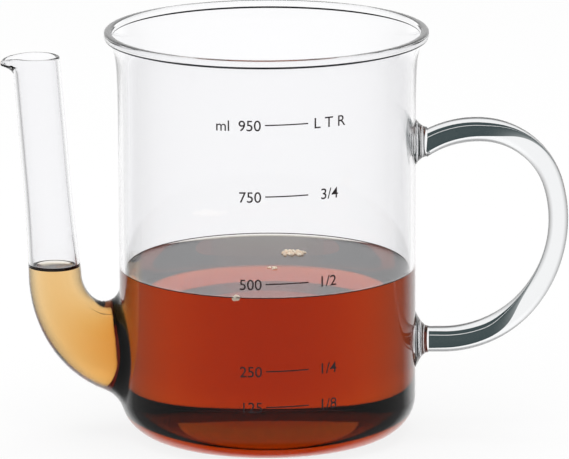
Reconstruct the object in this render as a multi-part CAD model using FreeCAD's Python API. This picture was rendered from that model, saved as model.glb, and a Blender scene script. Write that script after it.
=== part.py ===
import FreeCAD, Part
import math
import os

# Gravy fat separator: a flame-worked borosilicate beaker with a spout tube
# that leaves it near the base, a solid glass rod handle, a printed volume
# scale and a filling of gravy. Millimetres. +Z is up and the spout points
# to -X. The origin is the centre of the flat base, on the table.

# Beaker
body_radius = 52.5
wall = 2.0
base_thickness = 3.0
corner_radius = 13.0
height = 144.8

# Rim: a gentle outward sweep that ends in a round bead
rim_radius = 57.2
bead_radius = 1.4
flare_length = 44.8
flare_hold = 33.0
flare_pull = 5.5
flare_angle = math.radians(40.0)

# Spout path, in the plane y = 0
root_height = 31.0
bend_climb = 26.6
spout_standoff = 22.85
spout_lean = math.radians(4.3)
mouth_height = 135.5
seal_standoff = 18.6

# Spout sections
tube_radius = 8.45
bend_radius = 9.35
root_radius = 17.8
spout_wall = 1.5
taper_length = 35.0
root_fillet = 5.0
hole_fillet = 2.0

# Pouring lip, pulled out of the spout's mouth and down
lip_reach = 4.2
lip_drop = 3.2
lip_depth = 4.0
lip_thickness = 0.9
lip_spread = math.radians(25.0)
lip_inset = 0.98
lip_rows = 9
lip_columns = 18

# Handle: one rod on tangent arcs, thinner in the middle
handle_start_height = 101.3
handle_start_angle = math.radians(37.6)
shoulder_radius = 35.6
shoulder_sweep = math.radians(41.7)
knuckle_radius = 27.4
knuckle_sweep = math.radians(68.9)
back_radius = 45.6
back_sweep = math.radians(56.5)
handle_end_height = 32.6
rod_radius_top = 4.4
rod_radius_middle = 3.5
rod_radius_bottom = 4.6

# Feet of fused glass between the rod and the wall
foot_margin = 0.15
foot_width_share = 0.92
upper_foot_rise = 3.0
upper_foot_length = 4.0
upper_foot_reach = 8.2
lower_foot_length = 4.6
lower_foot_reach = 10.2

# Printed volume scale: the height of each line above the table
mark_heights = (121.5, 96.3, 65.3, 34.2, 21.9)
mark_length = 15.0
mark_line = 0.45
ink_thickness = 0.12
mark_turn = 7.7
mark_tilt = 1.0

# Filling
gravy_level = 59.3

inner_radius = body_radius - wall
bend_height = root_height + bend_climb
X_AXIS = FreeCAD.Vector(1, 0, 0)
Y_AXIS = FreeCAD.Vector(0, 1, 0)
Z_AXIS = FreeCAD.Vector(0, 0, 1)
ORIGIN = FreeCAD.Vector(0, 0, 0)


def point(x, z):
    """A point of the plane y = 0."""
    return FreeCAD.Vector(x, 0, z)


def line(a, b):
    return Part.LineSegment(a, b).toShape()


def arc(centre, radius, start, end):
    """An arc in the plane y = 0 from angle start to angle end."""
    through = [
        centre + point(radius * math.cos(a), radius * math.sin(a))
        for a in (start, (start + end) / 2, end)
    ]
    return Part.Arc(*through).toShape()


def bezier(poles):
    curve = Part.BezierCurve()
    curve.setPoles(poles)
    return curve.toShape()


def revolve(edges):
    """The solid that a closed profile in the plane y = 0 sweeps around the Z axis."""
    face = Part.Face(Part.Wire(edges))
    return face.revolve(ORIGIN, Z_AXIS, 360)


def slab(low, high):
    """Everything between two heights, wide enough for the whole object."""
    width = 6 * body_radius
    corner = FreeCAD.Vector(-width / 2, -width / 2, low)
    return Part.makeBox(width, width, high - low, corner)


# ---------------------------------------------------------------- beaker


def rim_sweep(radius, side):
    """One line of the flare: upright on the wall, at flare_angle where it meets the bead."""
    bead = point(rim_radius - bead_radius, height - bead_radius)
    across = point(math.cos(flare_angle), -math.sin(flare_angle))
    along = point(math.sin(flare_angle), math.cos(flare_angle))
    start = height - flare_length
    end = bead + across * bead_radius * side
    return bezier(
        [
            point(radius, start),
            point(radius, start + flare_hold),
            end - along * flare_pull,
            end,
        ]
    )


def beaker_profile(radius, floor, corner, side):
    """Edges from the axis along the floor, round the corner and up to the bead."""
    turn = point(radius - corner, floor + corner)
    shoulder = height - flare_length
    return [
        line(point(0, floor), point(turn.x, floor)),
        arc(turn, corner, -math.pi / 2, 0),
        line(point(radius, turn.z), point(radius, shoulder)),
        rim_sweep(radius, side),
    ]


def close_to_axis(edges, top):
    """Carries a profile that ended at a point on to the axis and back down to its floor."""
    floor = edges[0].valueAt(edges[0].FirstParameter)
    axis_top = point(0, top.z)
    return edges + [line(top, axis_top), line(axis_top, floor)]


def beaker_outside():
    """The beaker's outside as one solid, its bead included."""
    edges = beaker_profile(body_radius, 0, corner_radius, 1)
    bead = point(rim_radius - bead_radius, height - bead_radius)
    crown = math.pi / 2
    edges.append(arc(bead, bead_radius, -flare_angle, crown))
    edges.append(arc(bead, bead_radius, crown, math.pi - flare_angle))
    across = point(math.cos(flare_angle), -math.sin(flare_angle))
    return revolve(close_to_axis(edges, bead - across * bead_radius))


def beaker_inside():
    """The beaker's cavity as one solid, which ends level where the bead begins."""
    edges = beaker_profile(inner_radius, base_thickness, corner_radius - wall, -1)
    bead = point(rim_radius - bead_radius, height - bead_radius)
    across = point(math.cos(flare_angle), -math.sin(flare_angle))
    return revolve(close_to_axis(edges, bead - across * bead_radius))


# ---------------------------------------------------------------- spout


def bend_station(turn):
    """Centre, heading, radius and wall of the spout at a turn of its bend.

    The bend is a quarter ellipse. At a turn of 90 degrees it leaves the
    beaker level, and at 0 it stands upright.
    """
    root = point(-(body_radius - wall / 4), root_height)
    reach = spout_standoff + body_radius + root.x
    centre = point(
        root.x - reach * math.cos(turn), bend_height - bend_climb * math.sin(turn)
    )
    heading = point(-reach * math.sin(turn), bend_climb * math.cos(turn))
    growth = 1 - math.cos(turn)
    radius = bend_radius + (root_radius - bend_radius) * growth
    thickness = spout_wall + (wall - spout_wall) * growth
    return centre, heading, radius, thickness


def seal_turn():
    """The turn at which the tube is sealed to the neck of the beaker."""
    root = bend_station(math.pi / 2)[0]
    top = bend_station(0)[0]
    return math.acos((root.x + body_radius + seal_standoff) / (root.x - top.x))


def tube_station(rise):
    """Centre, radius and wall of the straight tube, rise above the bend."""
    centre = bend_station(0)[0] + point(-rise * math.tan(spout_lean), rise)
    left = max(0.0, 1 - rise / taper_length)
    radius = tube_radius + (bend_radius - tube_radius) * left ** 2
    return centre, radius, spout_wall


def ring(centre, heading, radius):
    """A circle across the path, which starts on the side that faces the beaker."""
    circle = Part.Circle(centre, heading, radius)
    circle.XAxis = Y_AXIS.cross(heading)
    return Part.Wire(circle.toShape())


def lip_pull(rise, bore):
    """How far the beak stands out of the tube, rise above the bend."""
    base = mouth_height - lip_drop - lip_depth - bend_height
    share = (rise - base - lip_thickness * bore) / lip_depth
    return lip_reach * min(1.0, max(0.0, share)) ** 3


def lip_row(centre, radius, pull):
    """Poles of a level closed curve: round, with a beak towards -X.

    A cubic spline runs a little inside its poles, so they stand further out.
    """
    swell = 3 / (2 + math.cos(2 * math.pi / lip_columns))
    poles = []
    for step in range(lip_columns):
        angle = 2 * math.pi * step / lip_columns
        beak = math.exp(-(((angle - math.pi) / lip_spread) ** 2))
        direction = X_AXIS * math.cos(angle) + Y_AXIS * math.sin(angle)
        poles.append(centre + direction * (radius * swell + pull * beak))
    return poles


def skin(rows):
    """The solid inside one cubic spline surface over rows of poles, closed flat at its ends."""
    along = list(range(len(rows) - 2))
    around = list(range(lip_columns + 1))
    along_ends = [4] + [1] * (len(along) - 2) + [4]
    around_ends = [1] * len(around)
    surface = Part.BSplineSurface()
    surface.buildFromPolesMultsKnots(
        rows, along_ends, around_ends, along, around, False, True, 3, 3
    )
    side = surface.toShape()
    ends = [Part.Face(Part.Wire(edge)) for edge in side.Edges if edge.isClosed()]
    shell = Part.Shell([side] + ends)
    shell.sewShape()
    return Part.Solid(shell)


def spout_loft(bore):
    """The spout's outside, or its bore, from inside the beaker to above the mouth."""
    rings = []
    root, heading, radius, thickness = bend_station(math.pi / 2)
    radius -= thickness * bore
    for depth in (4 * wall, 2 * wall):
        rings.append(ring(root + X_AXIS * depth, heading, radius))
    for step in range(9, -1, -1):
        centre, heading, radius, thickness = bend_station(math.radians(10 * step))
        rings.append(ring(centre, heading, radius - thickness * bore))
    straight = mouth_height + wall - bend_height
    for step in range(1, 9):
        centre, radius, thickness = tube_station(straight * step / 8)
        rings.append(ring(centre, Z_AXIS, radius - thickness * bore))
    return Part.makeLoft(rings, True, False)


def lip(bore):
    """The lip's outside, or the channel in it.

    It is a little thinner than the tube, so that only its beak stands out.
    """
    top = mouth_height + 2 * wall - bend_height
    low = mouth_height - lip_drop - 2 * lip_depth - bend_height
    rows = []
    for step in range(lip_rows + 1):
        rise = low + (top - low) * step / lip_rows
        centre, radius, thickness = tube_station(rise)
        radius = (radius - thickness * bore) * lip_inset
        rows.append(lip_row(centre, radius, lip_pull(rise, bore)))
    return skin(rows)


def above_mouth():
    """Everything above the mouth, whose edge is level but dips at the lip."""
    centre, radius, _ = tube_station(mouth_height - bend_height)
    tip = point(centre.x - radius - lip_reach, mouth_height - lip_drop)
    inner = point(centre.x - radius / 2, mouth_height)
    far = point(centre.x + 2 * radius, mouth_height)
    beyond = tip - point(lip_reach, lip_reach)
    top = mouth_height + 2 * lip_depth
    edges = [
        line(far, inner),
        bezier([inner, point(tip.x, mouth_height), tip]),
        line(tip, beyond),
        line(beyond, point(beyond.x, top)),
        line(point(beyond.x, top), point(far.x, top)),
        line(point(far.x, top), far),
    ]
    face = Part.Face(Part.Wire(edges))
    face.translate(Y_AXIS * -2 * radius)
    return face.extrude(Y_AXIS * 4 * radius)


def beyond_seal():
    """A block that holds all of the spout beyond the seal, and none of its neck."""
    centre, heading, radius, _ = bend_station(seal_turn())
    size = 3 * mouth_height
    block = Part.makeBox(size, size, size, FreeCAD.Vector(-size / 2, -size / 2, 0))
    turn = FreeCAD.Rotation(Z_AXIS, heading)
    block.Placement = FreeCAD.Placement(centre, turn)
    return block


# ---------------------------------------------------------------- handle


def handle_arcs():
    """The arcs that the rod follows, all turning one way: radius and sweep of each.

    The last one, the heel, takes the radius that brings the rod level at
    handle_end_height.
    """
    arcs = [
        (shoulder_radius, shoulder_sweep),
        (knuckle_radius, knuckle_sweep),
        (back_radius, back_sweep),
    ]
    end, heading = walk(arcs, math.inf)
    heel_sweep = math.pi + heading
    heel_radius = (end.z - handle_end_height) / (1 - math.cos(heel_sweep))
    return arcs + [(heel_radius, heel_sweep)]


def walk(arcs, distance):
    """Where the rod's axis is, and its heading, after a distance along the arcs."""
    place = point(body_radius, handle_start_height)
    heading = handle_start_angle
    for radius, sweep in arcs:
        turn = min(sweep, distance / radius)
        after = heading - turn
        chord = point(
            math.sin(heading) - math.sin(after), math.cos(after) - math.cos(heading)
        )
        place = place + chord * radius
        distance -= turn * radius
        heading = after
    if distance != math.inf:
        place = place + point(math.cos(heading), math.sin(heading)) * distance
    return place, heading


def blend(value):
    """A smooth step from 0 to 1."""
    value = min(1.0, max(0.0, value))
    return value * value * (3 - 2 * value)


def rod_radius(share):
    """The rod's radius at a share of its length from the upper foot."""
    if share < 0.5:
        part = blend((share - 0.1) / 0.38)
        return rod_radius_top + (rod_radius_middle - rod_radius_top) * part
    part = blend((share - 0.52) / 0.38)
    return rod_radius_middle + (rod_radius_bottom - rod_radius_middle) * part


def handle_length(arcs):
    """The rod's length from wall to wall, its level run at the heel included."""
    curved = sum(radius * sweep for radius, sweep in arcs)
    heel, _ = walk(arcs, curved)
    return curved + heel.x - body_radius


def handle_rod():
    """The rod, with its ends cut upright where the feet begin."""
    arcs = handle_arcs()
    length = handle_length(arcs)
    count = 24
    rings = []
    for step in range(count + 1):
        share = step / count
        place, heading = walk(arcs, length * share)
        direction = point(math.cos(heading), math.sin(heading))
        rings.append(ring(place, direction, rod_radius(share)))
    rod = Part.makeLoft(rings, True, False)
    middle = (handle_start_height + handle_end_height) / 2
    ends = ((upper_foot_length, middle, height), (lower_foot_length, 0, middle))
    for foot_length, low, high in ends:
        corner = FreeCAD.Vector(0, -body_radius, low)
        depth = body_radius + foot_length
        rod = rod.cut(Part.makeBox(depth, 2 * body_radius, high - low, corner))
    return rod


def oval(centre, high, wide):
    """An ellipse across the X axis, at least as high as it is wide."""
    ellipse = Part.Ellipse(centre + Z_AXIS * high, centre + Y_AXIS * wide, centre)
    return Part.Wire(ellipse.toShape())


def flare(share, end, reach):
    """A foot's half size at a share of its length from the wall."""
    return end + (reach - end) * (1 - min(1.0, max(0.0, share))) ** 2


def foot(seat, length, reach, radius, slope, outside):
    """A foot that flares from the rod's end to the wall and is hollowed to sit on it.

    seat is the height of its middle, and radius and slope are the rod's where
    it begins. The wall curves away at the foot's sides, so there the flare
    is worked out from the distance that is left to the wall.
    """
    end_high = radius / math.cos(slope) + foot_margin
    end_wide = radius + foot_margin
    sections = []
    for share in (1, 0.85, 0.7, 0.55, 0.4, 0.25, 0.1, 0, -0.15, -0.3):
        high = flare(share, end_high, reach)
        wide = end_wide
        for _ in range(12):
            receded = body_radius - math.sqrt(body_radius ** 2 - wide ** 2)
            wide = flare(share + receded / length, end_wide, reach * foot_width_share)
            wide = min(wide, high)
        centre = FreeCAD.Vector(body_radius + length * share, 0, seat)
        sections.append(oval(centre, high, wide))
    return Part.makeLoft(sections, True, False).cut(outside)


# ---------------------------------------------------------------- scale and filling


def scale_line(z, outside):
    """One printed line: a thin patch of enamel on the wall, at the front."""
    grown = outside.copy()
    grown.scale(1 + ink_thickness / body_radius, Z_AXIS * z)
    corner = FreeCAD.Vector(-mark_length / 2, -body_radius - wall, z - mark_line / 2)
    patch = Part.makeBox(mark_length, 2 * wall, mark_line, corner)
    patch.rotate(Z_AXIS * z, Y_AXIS, -mark_tilt)
    patch.rotate(ORIGIN, Z_AXIS, mark_turn)
    return patch.common(grown).cut(outside)


def root_edge(shape, radius):
    """The edge where the spout's loft of this radius meets the beaker's wall."""
    middle = FreeCAD.Vector(-body_radius, 0, root_height)
    found = [
        edge
        for edge in shape.Edges
        if edge.Length > 4 * radius and edge.CenterOfMass.distanceToPoint(middle) < radius / 2
    ]
    return found


def main():
    os.makedirs("parts", exist_ok=True)

    outside = beaker_outside()
    spout_outside = spout_loft(False)
    tube_side = beyond_seal()

    beaker = outside.fuse(spout_outside.cut(tube_side))
    beaker = beaker.makeFillet(root_fillet, root_edge(beaker, root_radius))
    cavity = beaker_inside().fuse(spout_loft(True))
    cavity = cavity.makeFillet(hole_fillet, root_edge(cavity, root_radius - wall))

    jug_body = beaker.cut(cavity)

    tube = spout_outside.common(tube_side).fuse(lip(False)).cut(above_mouth())
    spout_tube = tube.cut(spout_loft(True)).cut(lip(True))

    arcs = handle_arcs()
    _, upper_slope = walk(arcs, upper_foot_length)
    handle = handle_rod()
    upper_foot = foot(
        handle_start_height + upper_foot_rise,
        upper_foot_length,
        upper_foot_reach,
        rod_radius_top,
        upper_slope,
        outside,
    )
    lower_foot = foot(
        handle_end_height,
        lower_foot_length,
        lower_foot_reach,
        rod_radius_bottom,
        0,
        outside,
    )

    filling = cavity.common(slab(0, gravy_level))
    gravy_in_jug = beaker_inside().common(slab(0, gravy_level))
    gravy_in_spout = filling.cut(beaker_inside())

    parts = {
        "jug_body": jug_body,
        "spout_tube": spout_tube,
        "handle": handle,
        "upper_handle_foot": upper_foot,
        "lower_handle_foot": lower_foot,
        "scale_lines": Part.makeCompound([scale_line(z, outside) for z in mark_heights]),
        "gravy_in_jug": gravy_in_jug,
        "gravy_in_spout": gravy_in_spout,
    }
    for name, shape in parts.items():
        shape.exportStep("parts/" + name + ".step")
        print(name, shape.isValid(), len(shape.Solids), round(shape.Volume, 1))


main()
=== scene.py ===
"""Gravy fat separator: a flame-worked glass jug with a spout from its foot, half full.

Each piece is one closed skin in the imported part's own frame: metres, +Z up, the
spout towards -X, the handle towards +X and the printed scale on the -Y side.
Where glass meets glass, or gravy meets glass, the two skins overlap by a hair,
so that light passes as it does through fused or wetted glass.
"""

from __future__ import annotations

import logging
import math
import random
from collections.abc import Callable
from dataclasses import dataclass, field
from enum import Enum
from typing import Any, ClassVar

import bmesh
import bpy
import numpy as np
from mathutils import Matrix, Vector

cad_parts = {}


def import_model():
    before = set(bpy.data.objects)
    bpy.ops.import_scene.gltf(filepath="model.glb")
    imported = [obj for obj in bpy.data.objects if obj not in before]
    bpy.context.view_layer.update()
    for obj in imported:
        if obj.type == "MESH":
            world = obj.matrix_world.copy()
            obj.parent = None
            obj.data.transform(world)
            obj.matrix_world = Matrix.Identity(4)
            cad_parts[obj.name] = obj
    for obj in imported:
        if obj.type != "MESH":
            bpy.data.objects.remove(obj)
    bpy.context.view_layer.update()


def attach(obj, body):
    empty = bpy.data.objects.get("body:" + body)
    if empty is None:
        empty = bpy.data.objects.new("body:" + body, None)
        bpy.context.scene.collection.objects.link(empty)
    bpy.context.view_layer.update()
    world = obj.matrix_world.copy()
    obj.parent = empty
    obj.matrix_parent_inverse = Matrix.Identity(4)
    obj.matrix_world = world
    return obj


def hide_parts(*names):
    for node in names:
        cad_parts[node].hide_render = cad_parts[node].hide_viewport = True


log = logging.getLogger("fat_separator")

MM = 0.001
BODY = "root"
LAP = 0.03 * MM  # how far skins overlap where pieces meet
ON_AXIS = 1e-9  # a smaller radius counts as none
NO_AREA = 1e-16  # a smaller face is left out


# --------------------------------------------------------------------------
# Finishes
# --------------------------------------------------------------------------


def srgb(code: str) -> tuple[float, float, float, float]:
    """Turns an sRGB hex colour into Blender's linear one.

    Args:
        code: six hex digits, such as "F4F1EC".

    Returns:
        Linear red, green and blue, and an alpha of 1.
    """
    channels = [int(code[i : i + 2], 16) / 255 for i in (0, 2, 4)]
    linear = [c / 12.92 if c <= 0.04045 else ((c + 0.055) / 1.055) ** 2.4 for c in channels]
    return (linear[0], linear[1], linear[2], 1.0)


def add_node(
    tree: bpy.types.NodeTree,
    kind: str,
    settings: dict[str, Any] | None = None,
    links: dict[str, bpy.types.NodeSocket] | None = None,
) -> bpy.types.Node:
    """Adds a node, sets it up and links its inputs.

    Args:
        tree: the node tree to add to.
        kind: the node's type, without "ShaderNode".
        settings: values by input name or number, or by attribute where no input has that name.
        links: output sockets by the name or number of the input that each one feeds.

    Returns:
        The new node.
    """
    node = tree.nodes.new("ShaderNode" + kind)
    inputs = {socket.name: socket for socket in reversed(list(node.inputs))}
    inputs.update({str(i): socket for i, socket in enumerate(node.inputs)})
    for name, value in (settings or {}).items():
        if name in inputs:
            inputs[name].default_value = value
        else:
            setattr(node, name, value)
    for name, socket in (links or {}).items():
        tree.links.new(socket, inputs[name])
    return node


@dataclass(frozen=True)
class Finish:
    """What all finishes share: one principled shader, set up and then patterned.

    mirror is the strength of its reflections, clear how much light it passes,
    and glow a light of its own.
    """

    name: str
    tint: str = "FFFFFF"
    roughness: float = 0.0
    ior: float = 1.5
    mirror: float = 0.5
    clear: float = 1.0
    glow: float = 0.0

    def pattern(self, tree: bpy.types.NodeTree, shader: bpy.types.Node) -> None:
        """Adds the nodes that vary the shader's inputs. A plain finish has none."""

    def build(self) -> bpy.types.Material:
        """Makes the material.

        Returns:
            The material.
        """
        material = bpy.data.materials.new(self.name)
        material.use_nodes = True
        tree = material.node_tree
        shader = tree.nodes["Principled BSDF"]
        values = {
            "Base Color": srgb(self.tint),
            "Roughness": self.roughness,
            "IOR": self.ior,
            "Specular IOR Level": self.mirror,
            "Transmission Weight": self.clear,
            "Emission Color": srgb(self.tint),
            "Emission Strength": self.glow,
        }
        for socket, value in values.items():
            shader.inputs[socket].default_value = value
        self.pattern(tree, shader)
        return material


@dataclass(frozen=True)
class Mottled(Finish):
    """A finish whose colour varies in soft spots, from a low colour to a high one.

    grain is the size of a spot, detail the number of finer layers on it, and
    spread says where on the pattern's range the two colours lie.
    """

    low: str = "000000"
    high: str = "FFFFFF"
    grain: float = MM
    detail: float = 2.0
    spread: tuple[float, float] = (0.0, 1.0)

    def pattern(self, tree: bpy.types.NodeTree, shader: bpy.types.Node) -> None:
        """Adds the spots.

        Args:
            tree: the material's node tree.
            shader: its principled shader.
        """
        place = add_node(tree, "TexCoord").outputs["Object"]
        settings = {"Scale": 1 / self.grain, "Detail": self.detail}
        spots = add_node(tree, "TexNoise", settings, {"Vector": place})
        ramp = add_node(tree, "ValToRGB", {}, {"Fac": spots.outputs["Fac"]})
        stops = zip(ramp.color_ramp.elements, (self.low, self.high), self.spread)
        for stop, colour, position in stops:
            stop.color = srgb(colour)
            stop.position = position
        tree.links.new(ramp.outputs["Color"], shader.inputs["Base Color"])


@dataclass(frozen=True)
class Borosilicate(Finish):
    """Flame-worked borosilicate glass, fire polished.

    It is clear and all but colourless. The torch leaves its surface very
    slightly wavy, which bends what is seen through it.
    """

    name: str = "borosilicate_glass"
    tint: str = "FEFEFF"
    ior: float = 1.474
    mirror: float = 0.4
    wave_length: float = 24 * MM
    wave_height: float = 0.02 * MM

    def pattern(self, tree: bpy.types.NodeTree, shader: bpy.types.Node) -> None:
        """Adds the torch's waves.

        Args:
            tree: the material's node tree.
            shader: its principled shader.
        """
        place = add_node(tree, "TexCoord").outputs["Object"]
        settings = {"Scale": 1 / self.wave_length, "Detail": 1.0}
        waves = add_node(tree, "TexNoise", settings, {"Vector": place}).outputs["Fac"]
        settings = {"Strength": 1.0, "Distance": self.wave_height}
        bump = add_node(tree, "Bump", settings, {"Height": waves})
        tree.links.new(bump.outputs["Normal"], shader.inputs["Normal"])


@dataclass(frozen=True)
class GroundGlass(Mottled):
    """The same glass where its underside is ground flat: a fine grey frosting.

    It scatters light instead of mirroring it, so it shows as a pale disc
    through the glass and the gravy above it. Its grit is drawn coarser than
    the real one, which is too fine to show.
    """

    name: str = "ground_glass"
    roughness: float = 0.6
    ior: float = Borosilicate.ior
    low: str = "EDEEF0"
    grain: float = 0.6 * MM


@dataclass(frozen=True)
class StandingRingShade(Finish):
    """The ring on which the jug stands, tight on the table.

    Looked down on, it is as clear as the rest. A look that skims it finds it
    opaque and near black, as painted shade, so through the jug's side it is a
    black band. The painted shade stands in for glass that turns such looks away
    from everything bright.
    """

    name: str = "standing_ring_painted_shade"
    ior: float = Borosilicate.ior
    # The painted shade's colour, where a look skims the ring.
    dark: str = "0C0A09"
    even_blend: float = 0.5
    square: float = 0.3
    skimming: float = 0.45

    def pattern(self, tree: bpy.types.NodeTree, shader: bpy.types.Node) -> None:
        """Closes the glass and paints it dark, as shade, from looks that are nearly square on it
        to looks that skim it.

        Args:
            tree: the material's node tree.
            shader: its principled shader.
        """
        slant = add_node(tree, "LayerWeight", {"Blend": self.even_blend}).outputs["Facing"]
        span = {"From Min": self.square, "From Max": self.skimming, "To Min": 1.0, "To Max": 0.0}
        passed = add_node(tree, "MapRange", span, {"Value": slant}).outputs[0]
        ramp = add_node(tree, "ValToRGB", {}, {"Fac": passed})
        ramp.color_ramp.elements[0].color = srgb(self.dark)
        ramp.color_ramp.elements[1].color = srgb(self.tint)
        tree.links.new(ramp.outputs["Color"], shader.inputs["Base Color"])
        tree.links.new(passed, shader.inputs["Transmission Weight"])
        tree.links.new(passed, shader.inputs["Specular IOR Level"])


@dataclass(frozen=True)
class WettedGlass(Finish):
    """The inside of the glass where gravy wets it. No light is lost here.

    What bends light at such a place is the step from glass to gravy, and the
    gravy's own skin has that. So this one neither bends light nor mirrors it.
    """

    name: str = "wetted_glass"
    ior: float = 1.0
    mirror: float = 0.0


@dataclass(frozen=True)
class Gravy(Finish):
    """Thin meat gravy: clear, red-brown in depth and amber where it is shallow.

    Its colour comes from what it absorbs over the way that light travels in
    it, so the beaker looks deep red and the narrow spout looks amber. Where it
    wets the glass, it bends light by the step between the two only.
    """

    name: str = "gravy"
    ior: float = 1.345
    glass_ior: float = Borosilicate.ior
    passed: str = "F4D471"
    density: float = 115.0

    def pattern(self, tree: bpy.types.NodeTree, shader: bpy.types.Node) -> None:
        """Adds the step at the glass, and the colour that depth gives.

        Args:
            tree: the material's node tree.
            shader: its principled shader.
        """
        wetted = add_node(tree, "Attribute", {"attribute_name": Skin.wetting}).outputs["Fac"]
        span = {"To Min": self.ior, "To Max": self.ior / self.glass_ior}
        step = add_node(tree, "MapRange", span, {"Value": wetted})
        tree.links.new(step.outputs[0], shader.inputs["IOR"])
        settings = {"Color": srgb(self.passed), "Density": self.density}
        depth = add_node(tree, "VolumeAbsorption", settings)
        output = tree.nodes["Material Output"]
        tree.links.new(depth.outputs["Volume"], output.inputs["Volume"])


@dataclass(frozen=True)
class Enamel(Mottled):
    """Dark ceramic enamel, screen printed and fired on: matt, with a slightly uneven cover."""

    name: str = "scale_enamel"
    roughness: float = 0.45
    clear: float = 0.0
    low: str = "241A1D"
    high: str = "3C3034"
    grain: float = 0.25 * MM
    detail: float = 3.0
    spread: tuple[float, float] = (0.35, 0.75)


@dataclass(frozen=True)
class BeadFoldShade(Enamel):
    """The tight fold under the rim's bead, as opaque painted shade: a dark line with long soft
    spots.

    The real one is clear glass that turns all light away from the eye.
    """

    name: str = "bead_fold_painted_shade"
    low: str = "15181C"
    high: str = "2A2E34"
    grain: float = 6 * MM


@dataclass(frozen=True)
class MeniscusShade(Mottled):
    """Painted shade: a thin dark brown line where the gravy's surface meets the glass."""

    name: str = "meniscus_painted_shade"
    roughness: float = 0.35
    clear: float = 0.0
    low: str = "1E120C"
    high: str = "4A2C1C"
    grain: float = 3 * MM


@dataclass(frozen=True)
class Froth(Mottled):
    """Fatty bubbles on the gravy: thin wet films, pale brown where they crowd.

    A faint glow stands in for the light that wanders from film to film.
    """

    name: str = "froth"
    tint: str = "F4E8D6"
    roughness: float = 0.2
    ior: float = 1.34
    clear: float = 0.0
    glow: float = 0.35
    low: str = "CDA67C"
    high: str = tint
    grain: float = 1.2 * MM
    spread: tuple[float, float] = (0.35, 0.65)


class Slot(Enum):
    """The material slots: glass, scale print and gravy."""

    GLASS = "glass"
    PRINT = "scale_print"
    GRAVY = "gravy"


# --------------------------------------------------------------------------
# Geometry
# --------------------------------------------------------------------------


def link_piece(name: str, data: bpy.types.ID) -> bpy.types.Object:
    """Makes an object from its data and links it to the scene.

    Args:
        name: the object's name.
        data: its mesh, curve, lamp or camera.

    Returns:
        The object.
    """
    piece = bpy.data.objects.new(name, data)
    bpy.context.scene.collection.objects.link(piece)
    return piece


def unit(vectors: np.ndarray) -> np.ndarray:
    """Scales vectors along the last axis to length 1."""
    return vectors / np.linalg.norm(vectors, axis=-1, keepdims=True)


def blend(value: np.ndarray | float) -> np.ndarray | float:
    """A smooth step from 0 to 1."""
    value = np.clip(value, 0.0, 1.0)
    return value * value * (3 - 2 * value)


def bisect(
    low: np.ndarray,
    high: np.ndarray,
    stays_low: Callable[[np.ndarray], np.ndarray],
    rounds: int,
) -> tuple[np.ndarray, np.ndarray]:
    """Closes in on the values at which a test changes its answer.

    Args:
        low: values for which the test holds.
        high: values for which it doesn't.
        stays_low: the test, for an array of values.
        rounds: how often the range is halved.

    Returns:
        The ends of the last, tiny range.
    """
    for _ in range(rounds):
        middle = (low + high) / 2
        below = stays_low(middle)
        low, high = np.where(below, middle, low), np.where(below, high, middle)
    return low, high


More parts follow.
